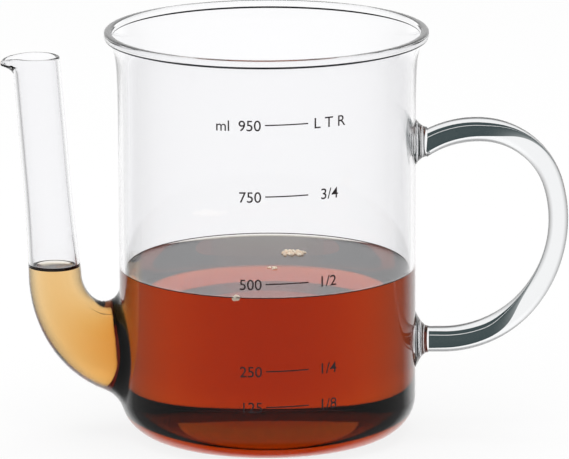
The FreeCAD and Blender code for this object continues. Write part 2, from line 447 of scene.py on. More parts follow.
@dataclass
class Outline:
    """A smooth line in the plane of radius and height, with the normals on its right."""

    points: np.ndarray
    normals: np.ndarray

    @classmethod
    def straight(cls, start: tuple[float, float], end: tuple[float, float], count: int) -> Outline:
        """A straight run.

        Args:
            start: radius and height of its start.
            end: radius and height of its end.
            count: how many steps it has.

        Returns:
            The line.
        """
        share = np.linspace(0, 1, count + 1)[:, None]
        points = np.array(start) * (1 - share) + np.array(end) * share
        run = unit(np.array(end) - np.array(start))
        normals = np.tile([run[1], -run[0]], (count + 1, 1))
        return cls(points, normals)

    @classmethod
    def arc(
        cls, centre: tuple[float, float], radius: float, start: float, end: float, count: int
    ) -> Outline:
        """An arc, which turns left where its end angle is more than its start angle.

        Args:
            centre: radius and height of its centre.
            radius: its own radius.
            start: its start angle.
            end: its end angle.
            count: how many steps it has.

        Returns:
            The line.
        """
        angles = np.linspace(start, end, count + 1)
        spokes = np.stack([np.cos(angles), np.sin(angles)], axis=1)
        side = 1 if end > start else -1
        return cls(np.array(centre) + spokes * radius, spokes * side)

    @classmethod
    def bezier(cls, poles: list[tuple[float, float]], count: int) -> Outline:
        """A cubic curve.

        Args:
            poles: radius and height of its four poles.
            count: how many steps it has.

        Returns:
            The line.
        """
        t = np.linspace(0, 1, count + 1)[:, None]
        a, b, c, d = (np.array(pole) for pole in poles)
        points = a * (1 - t) ** 3 + 3 * b * t * (1 - t) ** 2 + 3 * c * t**2 * (1 - t) + d * t**3
        run = 3 * (1 - t) ** 2 * (b - a) + 6 * t * (1 - t) * (c - b) + 3 * t**2 * (d - c)
        run = unit(run)
        return cls(points, np.stack([run[:, 1], -run[:, 0]], axis=1))

    @classmethod
    def joined(cls, parts: list[Outline]) -> Outline:
        """One line from parts that follow each other without a corner.

        Args:
            parts: the parts, each of which starts where the one before it ends.

        Returns:
            The line.
        """
        points = [parts[0].points] + [part.points[1:] for part in parts[1:]]
        normals = [parts[0].normals] + [part.normals[1:] for part in parts[1:]]
        return cls(np.concatenate(points), np.concatenate(normals))

    def reversed(self) -> Outline:
        """The same line run the other way, with its normals as they were."""
        return Outline(self.points[::-1], self.normals[::-1])

    def grown(self, distance: float) -> Outline:
        """The line moved along its normals, with points on the axis kept there.

        Args:
            distance: how far it moves.

        Returns:
            The new line.
        """
        points = self.points + self.normals * distance
        points[:, 0] = np.where(self.points[:, 0] < ON_AXIS, 0.0, points[:, 0])
        return Outline(points, self.normals)

    def lengths(self) -> np.ndarray:
        """The way along the line to each of its points."""
        steps = np.linalg.norm(np.diff(self.points, axis=0), axis=1)
        return np.concatenate([[0.0], np.cumsum(steps)])

    def at(self, way: np.ndarray) -> tuple[np.ndarray, np.ndarray]:
        """Finds places on the line.

        Args:
            way: distances along it.

        Returns:
            Their points and normals.
        """
        known = self.lengths()
        points = np.stack([np.interp(way, known, self.points[:, i]) for i in (0, 1)], axis=-1)
        normals = np.stack([np.interp(way, known, self.normals[:, i]) for i in (0, 1)], axis=-1)
        return points, unit(normals)


def turned(plane: np.ndarray, angle: np.ndarray) -> np.ndarray:
    """Turns points or vectors of an outline's plane round the Z axis.

    Args:
        plane: radius and height of each.
        angle: the angle that each is turned to.

    Returns:
        The points or vectors in space.
    """
    return np.stack(
        [plane[..., 0] * np.cos(angle), plane[..., 0] * np.sin(angle), plane[..., 1]], axis=-1
    )


class Patch(Enum):
    """What parts of one skin can be, in the order of the glass' materials.

    The floor is on the gravy's skin only, which has one material.
    """

    CLEAR = 0
    GROUND = 1
    STANDING = 2
    WETTED = 3
    FOLD = 4
    FLOOR = 5


# How much of the step from gravy to air the glass takes away where it is wetted.
# Less than all of it on the floor keeps the gravy above from looking doubled there.
WETTING = {Patch.WETTED: 1.0, Patch.FLOOR: 0.908}


class Skin:
    """Points with normals, and the faces between them, that become one mesh."""

    wetting: ClassVar[str] = "wetted"

    def __init__(self) -> None:
        """Starts with nothing."""
        self.points: list[np.ndarray] = []
        self.normals: list[np.ndarray] = []
        self.faces: list[tuple[tuple[int, ...], Patch]] = []
        self.patch = Patch.CLEAR
        self.count = 0

    def add(self, points: np.ndarray, normals: np.ndarray) -> np.ndarray:
        """Adds points.

        Args:
            points: positions, in any shape that ends in 3.
            normals: a normal for each.

        Returns:
            Their indices, in the shape of the points without its last axis.
        """
        shape = points.shape[:-1]
        flat = points.reshape(-1, 3)
        self.points.append(flat)
        self.normals.append(np.broadcast_to(normals, points.shape).reshape(-1, 3))
        indices = np.arange(self.count, self.count + len(flat)).reshape(shape)
        self.count += len(flat)
        return indices

    def face(self, *corners: int) -> None:
        """Adds a face in the skin's present finish. Corners at one point count once."""
        face = tuple(dict.fromkeys(int(corner) for corner in corners))
        if len(face) > 2:
            self.faces.append((face, self.patch))

    def strip(self, first: np.ndarray, second: np.ndarray) -> None:
        """Joins two closed rings of equal length with faces."""
        for corners in zip(first, np.roll(first, -1), np.roll(second, -1), second):
            self.face(*corners)

    def strips(self, rings: np.ndarray) -> None:
        """Joins a row of rings, each to the next."""
        for first, second in zip(rings[:-1], rings[1:]):
            self.strip(first, second)

    def sleeve(self, points: list[np.ndarray], normals: list[np.ndarray]) -> None:
        """Adds rings of points with their normals, and joins each ring to the next."""
        self.strips(self.add(np.stack(points), np.stack(normals)))

    def fan(self, ring: np.ndarray, tip: int) -> None:
        """Joins a closed ring to one point."""
        for a, b in zip(ring, np.roll(ring, -1)):
            self.face(a, b, tip)

    def lid(self, ring: np.ndarray, centre: np.ndarray, normal: np.ndarray) -> None:
        """Closes a ring with a flat lid that has points of its own, so its edge stays sharp.

        Args:
            ring: the ring's points.
            centre: the lid's middle.
            normal: the way that the lid faces.
        """
        rim = self.add(ring, normal)
        tip = self.add(centre[None, :], normal)
        self.fan(rim, int(tip[0]))

    def build(self, name: str, finishes: tuple[bpy.types.Material, ...] = ()) -> bpy.types.Object:
        """Makes the mesh object. Faces are turned to agree with the normals of their corners.

        Args:
            name: the object's name.
            finishes: a material for each kind of patch, where the piece has several.

        Returns:
            The object, linked to the scene.
        """
        points = np.concatenate(self.points)
        normals = unit(np.concatenate(self.normals))
        faces, patches = [], []
        for face, patch in self.faces:
            corners = points[list(face)]
            if len(face) == 4:
                across = np.cross(corners[2] - corners[0], corners[3] - corners[1])
            else:
                across = np.cross(corners[1] - corners[0], corners[2] - corners[0])
            if np.linalg.norm(across) < NO_AREA:
                continue
            if across @ normals[list(face)].sum(axis=0) < 0:
                face = face[::-1]
            faces.append(face)
            patches.append(patch)
        mesh = bpy.data.meshes.new(name)
        mesh.from_pydata(points.tolist(), [], faces)
        mesh.update()
        mesh.shade_smooth()
        wetted = mesh.attributes.new(self.wetting, "FLOAT", "FACE")
        wetted.data.foreach_set("value", [WETTING.get(patch, 0.0) for patch in patches])
        if finishes:
            for finish in finishes:
                mesh.materials.append(finish)
            mesh.polygons.foreach_set("material_index", [patch.value for patch in patches])
        mesh.normals_split_custom_set_from_vertices(normals.tolist())
        return link_piece(name, mesh)


@dataclass
class Window:
    """A stretch of a turned skin that is left open, in rows and columns of its grid."""

    rows: tuple[int, int]
    columns: tuple[int, int]

    def holds(self, row: int, column: int) -> bool:
        """Whether the face that starts at this row and column lies in the window."""
        return self.rows[0] <= row < self.rows[1] and self.columns[0] <= column < self.columns[1]

    def border(self) -> list[tuple[int, int]]:
        """Goes round the window's edge.

        Returns:
            Row and column of each grid point on it, in order.
        """
        low, high = self.rows
        left, right = self.columns
        along = [(low, column) for column in range(left, right)]
        along += [(row, right) for row in range(low, high)]
        along += [(high, column) for column in range(right, left, -1)]
        along += [(row, left) for row in range(high, low, -1)]
        return along


@dataclass
class Turning:
    """A skin turned round the Z axis, on a grid of rows along its outline."""

    outline: Outline
    columns: int = 240
    windows: list[Window] = field(default_factory=list)
    patches: list[Patch] = field(default_factory=list)
    grid: np.ndarray = field(default_factory=lambda: np.zeros((0, 0), int))

    def angles(self) -> np.ndarray:
        """The angle of each column. The middle column lies on -X."""
        return np.arange(self.columns) * 2 * math.pi / self.columns

    def lay(self, skin: Skin) -> None:
        """Adds the grid to a skin, with its windows left open.

        A row on the axis becomes one point.

        Args:
            skin: the skin to add to.
        """
        angles = self.angles()
        plane, normals = self.outline.points, self.outline.normals
        rows = []
        for point, normal in zip(plane, normals):
            if point[0] < ON_AXIS:
                tip = skin.add(np.array([[0.0, 0.0, point[1]]]), np.array([0.0, 0.0, normal[1]]))
                rows.append(np.repeat(tip, self.columns))
            else:
                ring = turned(np.broadcast_to(point, (self.columns, 2)), angles)
                outward = turned(np.broadcast_to(normal, (self.columns, 2)), angles)
                rows.append(skin.add(ring, outward))
        self.grid = np.stack(rows)
        for row in range(len(rows) - 1):
            skin.patch = self.patches[row] if self.patches else skin.patch
            for column in range(self.columns):
                if any(window.holds(row, column) for window in self.windows):
                    continue
                after = (column + 1) % self.columns
                low, high = self.grid[row], self.grid[row + 1]
                skin.face(low[column], low[after], high[after], high[column])


# --------------------------------------------------------------------------
# The glass
# --------------------------------------------------------------------------


@dataclass(frozen=True)
class BeakerSizes:
    """Sizes of the beaker, with the flare and the bead of its rim.

    bead_square_run is the share of the bead's way over which it turns from
    round to square at each end, and bead_drop_band the share of its radius
    over which the drop of its lower half sets in. fold_rows, the rows that get
    the fold's painted shade, are counted from the outside's last row.
    """

    radius: float = 52.5 * MM
    wall: float = 2.0 * MM
    base: float = 3.0 * MM
    waterline: float = 59.9 * MM
    corner: float = 13.0 * MM
    height: float = 144.8 * MM
    rim_radius: float = 57.2 * MM
    bead: float = 1.4 * MM
    flare_length: float = 44.8 * MM
    flare_hold: float = 33.0 * MM
    flare_pull: float = 5.5 * MM
    flare_angle: float = math.radians(32)
    neck: float = 0.8 * MM
    neck_fillet: float = 0.4 * MM
    bead_squareness: float = 3.2
    bead_square_run: float = 0.15
    bead_drop: float = 0.3 * MM
    bead_drop_band: float = 0.4
    fold_rows: tuple[int, int] = (-5, 8)
    ground_radius: float = 25.5 * MM
    standing_radius: float = 43.0 * MM

    def bead_centre(self) -> tuple[float, float]:
        """Radius and height of the bead's centre."""
        return self.rim_radius - self.bead, self.height - self.bead

    def turn_at(self, inside: bool) -> tuple[float, float, float]:
        """Where the base's corner turns.

        Args:
            inside: whether the corner is the cavity's.

        Returns:
            Its radius, and the radius and height of its centre.
        """
        corner = self.corner - self.wall * inside
        radius = self.radius - self.wall * inside
        return corner, radius - corner, self.base * inside + corner

    def side(self, inside: bool) -> Outline:
        """The outside or inside line from the axis at the base up to the bead.

        Args:
            inside: whether the line is the cavity's.

        Returns:
            The line, with normals that point away from the axis, and down at the base.
        """
        radius = self.radius - self.wall * inside
        corner, turn_radius, turn_height = self.turn_at(inside)
        shoulder = self.height - self.flare_length
        sign = -1 if inside else 1
        lean = self.flare_angle
        across = np.array([math.cos(lean), -math.sin(lean)])
        along = np.array([math.sin(lean), math.cos(lean)])
        reach = self.neck + self.neck_fillet
        below = math.sqrt((self.bead + self.neck_fillet) ** 2 - reach**2)
        turn = math.atan2(below, reach)
        foot = np.array(self.bead_centre()) - along * (below + self.bead_drop)
        end = foot + across * self.neck * sign
        start = math.pi - lean if not inside else -lean
        held = (radius, shoulder + self.flare_hold)
        poles = [(radius, shoulder), held, tuple(end - along * self.flare_pull), tuple(end)]
        fillet_centre = tuple(foot + across * reach * sign)
        stop = start - turn * sign
        return Outline.joined(
            [
                self.bottom(self.base * inside, turn_radius),
                Outline.arc((turn_radius, turn_height), corner, -math.pi / 2, 0, count=16),
                Outline.straight((radius, turn_height), (radius, self.waterline), count=16),
                Outline.straight((radius, self.waterline), (radius, shoulder), count=13),
                Outline.bezier(poles, count=28),
                Outline.arc(fillet_centre, self.neck_fillet, start, stop, count=5),
            ]
        )

    def bottom(self, floor: float, end: float) -> Outline:
        """The base's line from the axis outward, with a row at the ground disc's edge.

        Args:
            floor: height of the line.
            end: radius at which it ends.

        Returns:
            The line.
        """
        edge = (self.ground_radius, floor)
        disc = Outline.straight((0, floor), edge, count=5)
        return Outline.joined([disc, Outline.straight(edge, (end, floor), count=5)])

    def rim(self) -> Outline:
        """The bead, from the outside line over its crown to the inside line.

        Its faces are flatter than a round bead's, so that it shows clear
        between two fine dark lines.

        Returns:
            The line.
        """
        reach = self.neck + self.neck_fillet
        turn = math.acos(reach / (self.bead + self.neck_fillet))
        lean = self.flare_angle
        centre = np.array(self.bead_centre())
        bead = Outline.arc(centre, self.bead, -turn - lean, math.pi + turn - lean, count=48)
        share = np.linspace(0, 1, len(bead.points))
        square = blend(np.minimum(share, 1 - share) / self.bead_square_run)
        power = 2 + (self.bead_squareness - 2) * square
        spoke = np.abs(bead.normals)
        stretch = np.sum(spoke ** power[:, None], axis=1) ** (-1 / power)
        points = centre + (bead.points - centre) * stretch[:, None]
        down = -np.array([math.sin(lean), math.cos(lean)])
        depth = (points - centre) @ down
        dropped = blend(depth / (self.bead_drop_band * self.bead) + 0.5)
        points = points + dropped[:, None] * self.bead_drop * down
        along = np.gradient(points, axis=0)
        normals = unit(np.stack([along[:, 1], -along[:, 0]], axis=1))
        normals[[0, -1]] = bead.normals[[0, -1]]
        return Outline(points, normals)

    def distance(self, points: np.ndarray, inside: bool) -> tuple[np.ndarray, np.ndarray]:
        """Distance from the straight wall or the base's corner, and the way that it grows.

        Args:
            points: positions near the wall, below its flare.
            inside: whether the distance is from the wall's inside.

        Returns:
            The distances, and unit vectors away from the wall.
        """
        corner, turn_radius, turn_height = self.turn_at(inside)
        reach = np.hypot(points[..., 0], points[..., 1])
        fall = np.minimum(points[..., 2] - turn_height, 0.0)
        over = reach - turn_radius
        span = np.hypot(over, fall)
        away = np.stack(
            [
                points[..., 0] / reach * over / span,
                points[..., 1] / reach * over / span,
                fall / span,
            ],
            axis=-1,
        )
        return span - corner, away


@dataclass(frozen=True)
class SpoutPath:
    """The spout's way out of the beaker, round its bend and up to its mouth.

    A place on it is a number: 0 at the beaker's wall, 1 where the bend ends,
    and one more for each straight_unit of height above that. Below 0 it runs
    on level into the beaker. The bend is a quarter of an ellipse that starts
    a quarter of the wall deep, and the tube above it leans a little outward.
    """

    beaker: BeakerSizes
    root_height: float = 31.0 * MM
    bend_climb: float = 26.6 * MM
    standoff: float = 22.85 * MM
    lean: float = math.radians(4.3)
    mouth_height: float = 135.5 * MM
    waterline: float = 60.6 * MM
    tube_radius: float = 8.45 * MM
    bend_radius: float = 9.35 * MM
    root_radius: float = 17.8 * MM
    tube_wall: float = 1.5 * MM
    taper_length: float = 35.0 * MM
    lip_reach: float = 4.2 * MM
    lip_drop: float = 3.2 * MM
    lip_depth: float = 4.0 * MM
    lip_thickness: float = 0.5 * MM
    lip_spread: float = math.radians(25)
    straight_unit: float = 100 * MM

    def bend_height(self) -> float:
        """The height at which the bend ends."""
        return self.root_height + self.bend_climb

    def rise(self, place: np.ndarray) -> np.ndarray:
        """Height above the bend's end."""
        return np.maximum(place - 1, 0) * self.straight_unit

    def place_at(self, height: float) -> float:
        """The place on the straight part at a height."""
        return 1 + (height - self.bend_height()) / self.straight_unit

    def surface(self, place: np.ndarray, turn: np.ndarray, bore: bool) -> np.ndarray:
        """Points of the outside or the bore.

        Args:
            place: places along the path.
            turn: angles round it, from the side that faces the beaker.
            bore: whether the points are on the bore.

        Returns:
            The points.
        """
        place, turn = np.broadcast_arrays(np.asarray(place, float), np.asarray(turn, float))
        root_x = -(self.beaker.radius - self.beaker.wall / 4)
        reach = self.standoff + self.beaker.radius + root_x
        left = math.pi / 2 * (1 - np.clip(place, 0, 1))
        rise = self.rise(place)
        inside = np.maximum(-place, 0) * reach
        x = root_x + inside - reach * np.cos(left) - rise * math.tan(self.lean)
        z = self.root_height + self.bend_climb * (1 - np.sin(left)) + rise
        along = unit(
            np.stack([-reach * np.sin(left), np.zeros_like(x), self.bend_climb * np.cos(left)], -1)
        )
        inward = np.stack([along[..., 2], np.zeros_like(x), -along[..., 0]], -1)
        growth = 1 - np.cos(left)
        radius = self.bend_radius + (self.root_radius - self.bend_radius) * growth
        wall = self.tube_wall + (self.beaker.wall - self.tube_wall) * growth
        taper = np.maximum(0.0, 1 - rise / self.taper_length) ** 2
        straight = self.tube_radius + (self.bend_radius - self.tube_radius) * taper
        radius = np.where(place > 1, straight, radius) - wall * bore
        base = self.mouth_height - self.lip_drop - self.lip_depth - self.bend_height()
        share = np.clip((rise - base - self.lip_thickness * bore) / self.lip_depth, 0, 1)
        off = np.mod(turn, 2 * math.pi) - math.pi
        radius = radius + self.lip_reach * share**3 * np.exp(-((off / self.lip_spread) ** 2))
        centre = np.stack([x, np.zeros_like(x), z], -1)
        side = np.array([0.0, 1.0, 0.0])
        spoke = inward * np.cos(turn)[..., None] + side * np.sin(turn)[..., None]
        return centre + spoke * radius[..., None]

    def normals(self, place: np.ndarray, turn: np.ndarray, bore: bool) -> np.ndarray:
        """Finds the way straight out of the surface, away from the path.

        Args:
            place: places along the path.
            turn: angles round it, from the side that faces the beaker.
            bore: whether the surface is the bore's.

        Returns:
            Unit vectors.
        """
        place, turn = np.broadcast_arrays(np.asarray(place, float), np.asarray(turn, float))
        step = 1e-4
        along = self.surface(place + step, turn, bore) - self.surface(place - step, turn, bore)
        round_it = self.surface(place, turn + step, bore) - self.surface(place, turn - step, bore)
        across = unit(np.cross(round_it, along))
        opposite = self.surface(place, turn + math.pi, bore)
        outward = self.surface(place, turn, bore) - opposite
        flip = np.sign(np.sum(across * outward, axis=-1, keepdims=True))
        return across * flip

    def mouth_line(self, x: np.ndarray) -> np.ndarray:
        """The mouth's edge: level, with a dip towards the lip's tip.

        Args:
            x: where on the X axis.

        Returns:
            The edge's height there.
        """
        rise = self.mouth_height - self.bend_height()
        centre = -(self.standoff + self.beaker.radius) - rise * math.tan(self.lean)
        tip = centre - self.tube_radius - self.lip_reach
        start = centre - self.tube_radius / 2
        share = np.clip((x - tip) / (start - tip), 0, 1)
        return self.mouth_height - self.lip_drop * (1 - np.sqrt(share)) ** 2


@dataclass(frozen=True)
class Root:
    """Where the spout grows out of the beaker's wall, with a fillet all round.

    Its fillet grows from one radius over the spout to another under it. The
    seal is the place at which the neck ends and the tube begins, and deepest
    is the place from which the fillet's start is looked for.
    """

    beaker: BeakerSizes
    path: SpoutPath
    fillets: tuple[float, float]
    inside: bool
    seal: float
    deepest: float = -0.9
    fillet_rings: int = 9

    def fillet(self, turn: np.ndarray) -> np.ndarray:
        """The fillet's radius at angles round the spout."""
        over, under = self.fillets
        return over + (under - over) * (1 - np.cos(turn)) / 2

    def contact(self, turn: np.ndarray) -> tuple[np.ndarray, np.ndarray]:
        """Centres of the ball that rolls along the corner, and its places on the path.

        Args:
            turn: angles round the spout.

        Returns:
            The centres, and the places at which the ball touches the spout.
        """
        fillet = self.fillet(turn)

        def centres(place: np.ndarray) -> np.ndarray:
            """The ball's centre where it touches the spout at these places."""
            surface = self.path.surface(place, turn, self.inside)
            return surface + self.path.normals(place, turn, self.inside) * fillet[:, None]

        def near(place: np.ndarray) -> np.ndarray:
            """Whether the ball there reaches into the wall."""
            return self.beaker.distance(centres(place), self.inside)[0] < fillet

        start, end = np.full_like(turn, self.deepest), np.full_like(turn, self.seal)
        place, _ = bisect(start, end, near, rounds=50)
        return centres(place), place

    def footprint(self, turn: np.ndarray) -> np.ndarray:
        """Where the fillet runs out on the beaker's wall.

        Args:
            turn: angles round the spout.

        Returns:
            The points.
        """
        centre, _ = self.contact(turn)
        _, away = self.beaker.distance(centre, self.inside)
        return centre - away * self.fillet(turn)[:, None]

    def rings(self, turn: np.ndarray, stations: int) -> tuple[np.ndarray, np.ndarray]:
        """Rings from the wall through the fillet and along the neck to its seal.

        Args:
            turn: angles round the spout.
            stations: how many rings the neck has.

        Returns:
            Points and normals in rows, with the normals away from the glass.
        """
        centre, place = self.contact(turn)
        _, away = self.beaker.distance(centre, self.inside)
        touch = self.path.surface(place, turn, self.inside)
        first, last = -away, unit(touch - centre)
        opening = np.arccos(np.clip(np.sum(first * last, axis=-1), -1, 1))[:, None]
        side = 1 if self.inside else -1
        points, normals = [], []
        for share in np.linspace(0, 1, self.fillet_rings):
            spoke = first * np.sin((1 - share) * opening) + last * np.sin(share * opening)
            spoke = unit(spoke / np.sin(opening))
            points.append(centre + spoke * self.fillet(turn)[:, None])
            normals.append(spoke * side)
        for share in np.linspace(0, 1, stations + 1)[1:]:
            at = place + (self.seal - place) * share
            points.append(self.path.surface(at, turn, self.inside))
            normals.append(self.path.normals(at, turn, self.inside) * -side)
        return np.stack(points), np.stack(normals)


@dataclass
class GlassJug:
    """The beaker and the spout, which are fused at the seal on the spout's bend.

    The fillets at the spout's root have one radius over the spout and one
    under it. window_margin and window_rise are what a window leaves free round
    the root. tube_rings counts the tube's rings on its bend, from there to the
    waterline, on to the lip, and along the lip.
    """

    finishes: tuple[bpy.types.Material, ...]
    sizes: BeakerSizes = field(default_factory=BeakerSizes)
    root_fillets: tuple[float, float] = (5.7 * MM, 10.5 * MM)
    hole_fillets: tuple[float, float] = (8.0 * MM, 10.5 * MM)
    seal: float = 0.72
    window_margin: float = math.radians(3)
    window_rise: float = 1.2 * MM
    window_steps: int = 6
    neck_rings: int = 12
    lip_length: float = 12 * MM
    mouth_search: float = 10 * MM
    mouth_round: float = 0.75 * MM
    mouth_rings: int = 11
    tube_rings: tuple[int, int, int, int] = (22, 3, 23, 26)
    around: int = 144
    footprint_steps: int = 720

    def path(self) -> SpoutPath:
        """The spout's path."""
        return SpoutPath(self.sizes)

    def root(self, inside: bool) -> Root:
        """The spout's root, outside or inside."""
        fillets = self.hole_fillets if inside else self.root_fillets
        return Root(self.sizes, self.path(), fillets, inside, self.seal)

    def matched_turns(self, root: Root, angles: np.ndarray) -> np.ndarray:
        """Angles round the spout whose footprint lies in given directions on the wall.

        Args:
            root: the spout's root.
            angles: directions from the root's middle, as seen on the unrolled wall.

        Returns:
            One angle round the spout for each.
        """
        turn = np.linspace(0, 2 * math.pi, self.footprint_steps + 1)
        foot = root.footprint(turn)
        across = np.unwrap(np.arctan2(foot[:, 1], foot[:, 0]) % (2 * math.pi)) - math.pi
        rise = foot[:, 2] - self.path().root_height
        seen = np.unwrap(np.arctan2(rise, across * self.sizes.radius))
        if seen[-1] < seen[0]:
            turn, seen = turn[::-1], seen[::-1]
        start = seen[0]
        return np.interp((angles - start) % (2 * math.pi) + start, seen, turn)

    def window(self, turning: Turning, rows: np.ndarray, root: Root) -> Window:
        """Finds the stretch of a wall that the spout's root takes up.

        Args:
            turning: the wall.
            rows: which of its rows to look through.
            root: the spout's root.

        Returns:
            The window.
        """
        foot = root.footprint(np.linspace(0, 2 * math.pi, self.footprint_steps // 4))
        spread = np.abs(np.arctan2(foot[:, 1], -foot[:, 0])).max() + self.window_margin
        columns = np.nonzero(np.abs(turning.angles() - math.pi) <= spread)[0]
        reach, heights = turning.outline.points[rows].T
        own = rows[
            (heights > foot[:, 2].min() - self.window_rise)
            & (heights < foot[:, 2].max() + self.window_rise)
            & (reach > self.sizes.radius - self.sizes.corner)
        ]
        return Window((int(own[0]) - 1, int(own[-1]) + 1), (int(columns[0]), int(columns[-1])))

    def open_root(
        self, skin: Skin, turning: Turning, window: Window, root: Root, lap: float = 0.0
    ) -> tuple[np.ndarray, np.ndarray]:
        """Fills a window of the wall up to the spout's footprint, and adds the neck.

        Args:
            skin: the skin to add to.
            turning: the wall that has the window.
            window: the window.
            root: the spout's root.
            lap: how far the neck is moved into the glass.

        Returns:
            Indices of the neck's last ring, at the seal, and its angles round the spout.
        """
        border = window.border()
        ring = np.array([turning.grid[row, column] for row, column in border])
        angles = turning.angles()
        ways = turning.outline.lengths()
        place = np.array([[angles[column], ways[row]] for row, column in border])
        heights = turning.outline.points[[row for row, _ in border], 1]
        rise = heights - self.path().root_height
        directions = np.arctan2(rise, (place[:, 0] - math.pi) * self.sizes.radius)
        turn = self.matched_turns(root, directions)
        foot = root.footprint(turn)
        foot_angle = np.arctan2(foot[:, 1], foot[:, 0]) % (2 * math.pi)
        low, high = window.rows
        upward = turning.outline.points[low : high + 1, 1]
        order = np.argsort(upward)
        foot_way = np.interp(foot[:, 2], upward[order], ways[low : high + 1][order])
        target = np.stack([foot_angle, foot_way], axis=1)
        previous = ring
        for share in np.linspace(0, 1, self.window_steps)[1:-1]:
            spot = place * (1 - share) + target * share
            plane, normals = turning.outline.at(spot[:, 1])
            current = skin.add(turned(plane, spot[:, 0]), turned(normals, spot[:, 0]))
            skin.strip(previous, current)
            previous = current
        points, normals = root.rings(turn, self.neck_rings)
        if lap:
            points, normals = points - normals * lap, -normals
        rings = skin.add(points, normals)
        skin.strip(previous, rings[0])
        skin.strips(rings)
        return rings[-1], turn

    def body(self) -> bpy.types.Object:
        """Makes the beaker with its neck: outside, bead and inside in one skin.

        Returns:
            The piece.
        """
        outer, inner = self.sizes.side(False), self.sizes.side(True)
        inner = Outline(inner.points, -inner.normals).reversed()
        outline = Outline.joined([outer, self.sizes.rim(), inner])
        turning = Turning(outline)
        rows = np.arange(len(outline.points))
        wall_rows = (rows[: len(outer.points)], rows[-len(inner.points) :])
        sides = []
        for inside, own_rows in zip((False, True), wall_rows):
            root = self.root(inside)
            sides.append((self.window(turning, own_rows, root), root))
        turning.windows = [window for window, _ in sides]
        turning.patches = self.patches(outline, len(outer.points))
        skin = Skin()
        turning.lay(skin)
        for (window, root), patch in zip(sides, (Patch.CLEAR, Patch.WETTED)):
            skin.patch = patch
            self.open_root(skin, turning, window, root)
        return skin.build("beaker", self.finishes)

    def patches(self, outline: Outline, outer: int) -> list[Patch]:
        """The finish of the glass between each two rows of the beaker's outline.

        Args:
            outline: the outline, from the base over the bead to the inside.
            outer: how many of its rows lie outside.

        Returns:
            The finishes.
        """
        patches = []
        middles = (outline.points[1:] + outline.points[:-1]) / 2
        for row, (reach, height) in enumerate(middles):
            patch = Patch.CLEAR
            if row > outer and height < self.sizes.waterline:
                patch = Patch.WETTED
            # Rows under the bead get the fold's painted shade.
            elif self.sizes.fold_rows[0] <= row - outer < self.sizes.fold_rows[1]:
                patch = Patch.FOLD
            # The standing ring gets a finish that paints shade where a look skims it.
            elif row < outer and height < self.sizes.base / 2:
                inner = reach < self.sizes.ground_radius
                standing = reach < self.sizes.standing_radius
                patch = Patch.GROUND if inner else Patch.STANDING if standing else patch
            patches.append(patch)
        return patches

    def spout(self) -> bpy.types.Object:
        """Makes the spout tube from its seal to its fire-polished mouth.

        Returns:
            The piece.
        """
        path = self.path()
        turn = np.arange(self.around) * 2 * math.pi / self.around
        skin = Skin()
        sides = []
        wet_end = path.place_at(path.waterline)
        lip_start = path.place_at(path.mouth_height - self.lip_length)
        for bore in (False, True):
            end = self.mouth_places(path, turn, bore)
            bend, wet, dry, lip = self.tube_rings
            places = [np.full_like(turn, p) for p in np.linspace(self.seal, 1, bend)]
            places += [np.full_like(turn, p) for p in np.linspace(1, wet_end, wet)[1:]]
            wet_rings = len(places)
            places += [np.full_like(turn, p) for p in np.linspace(wet_end, lip_start, dry)[1:]]
            places += [lip_start + (end - lip_start) * s for s in np.linspace(0, 1, lip)[1:]]
            points = np.stack([path.surface(p, turn, bore) for p in places])
            normals = np.stack([path.normals(p, turn, bore) for p in places])
            if bore:
                normals = -normals
            rings = skin.add(points, normals)
            skin.patch = Patch.WETTED if bore else Patch.CLEAR
            skin.strips(rings[:wet_rings])
            skin.patch = Patch.CLEAR
            skin.strips(rings[wet_rings - 1 :])
            sides.append(points)
        self.mouth(skin, *sides)
        return skin.build("spout", self.finishes)

    def mouth_places(self, path: SpoutPath, turn: np.ndarray, bore: bool) -> np.ndarray:
        """Finds where the tube's sides end, a fire-polished edge below the mouth.

        Args:
            path: the spout's path.
            turn: angles round it.
            bore: whether the side is the bore's.

        Returns:
            The places.
        """

        def below(place: np.ndarray) -> np.ndarray:
            """Whether the side at these places is still below the edge."""
            point = path.surface(place, turn, bore)
            return point[:, 2] < path.mouth_line(point[:, 0]) - path.tube_wall / 2

        start = np.full_like(turn, path.place_at(path.mouth_height - self.mouth_search))
        end = np.full_like(turn, path.place_at(path.mouth_height))
        return bisect(start, end, below, rounds=40)[0]

    def mouth(self, skin: Skin, outer: np.ndarray, inner: np.ndarray) -> None:
        """Rounds the mouth's edge from the tube's outside over to its bore.

        Args:
            skin: the skin to add to.
            outer: rings of the outside, up to its end.
            inner: rings of the bore, up to its end.
        """
        middle = (outer[-1] + inner[-1]) / 2
        half = (outer[-1] - inner[-1]) / 2
        onward = unit(outer[-1] - outer[-2]) + unit(inner[-1] - inner[-2])
        onward = onward - unit(half) * np.sum(onward * unit(half), axis=-1, keepdims=True)
        reach = np.minimum(np.linalg.norm(half, axis=-1, keepdims=True), self.mouth_round)
        onward = unit(onward) * reach
        steep = half / np.sum(half**2, axis=-1, keepdims=True)
        flat = onward / np.sum(onward**2, axis=-1, keepdims=True)
        points, normals = [], []
        for angle in np.linspace(0, math.pi, self.mouth_rings):
            points.append(middle + half * math.cos(angle) + onward * math.sin(angle))
            normals.append(unit(steep * math.cos(angle) + flat * math.sin(angle)))
        skin.sleeve(points, normals)


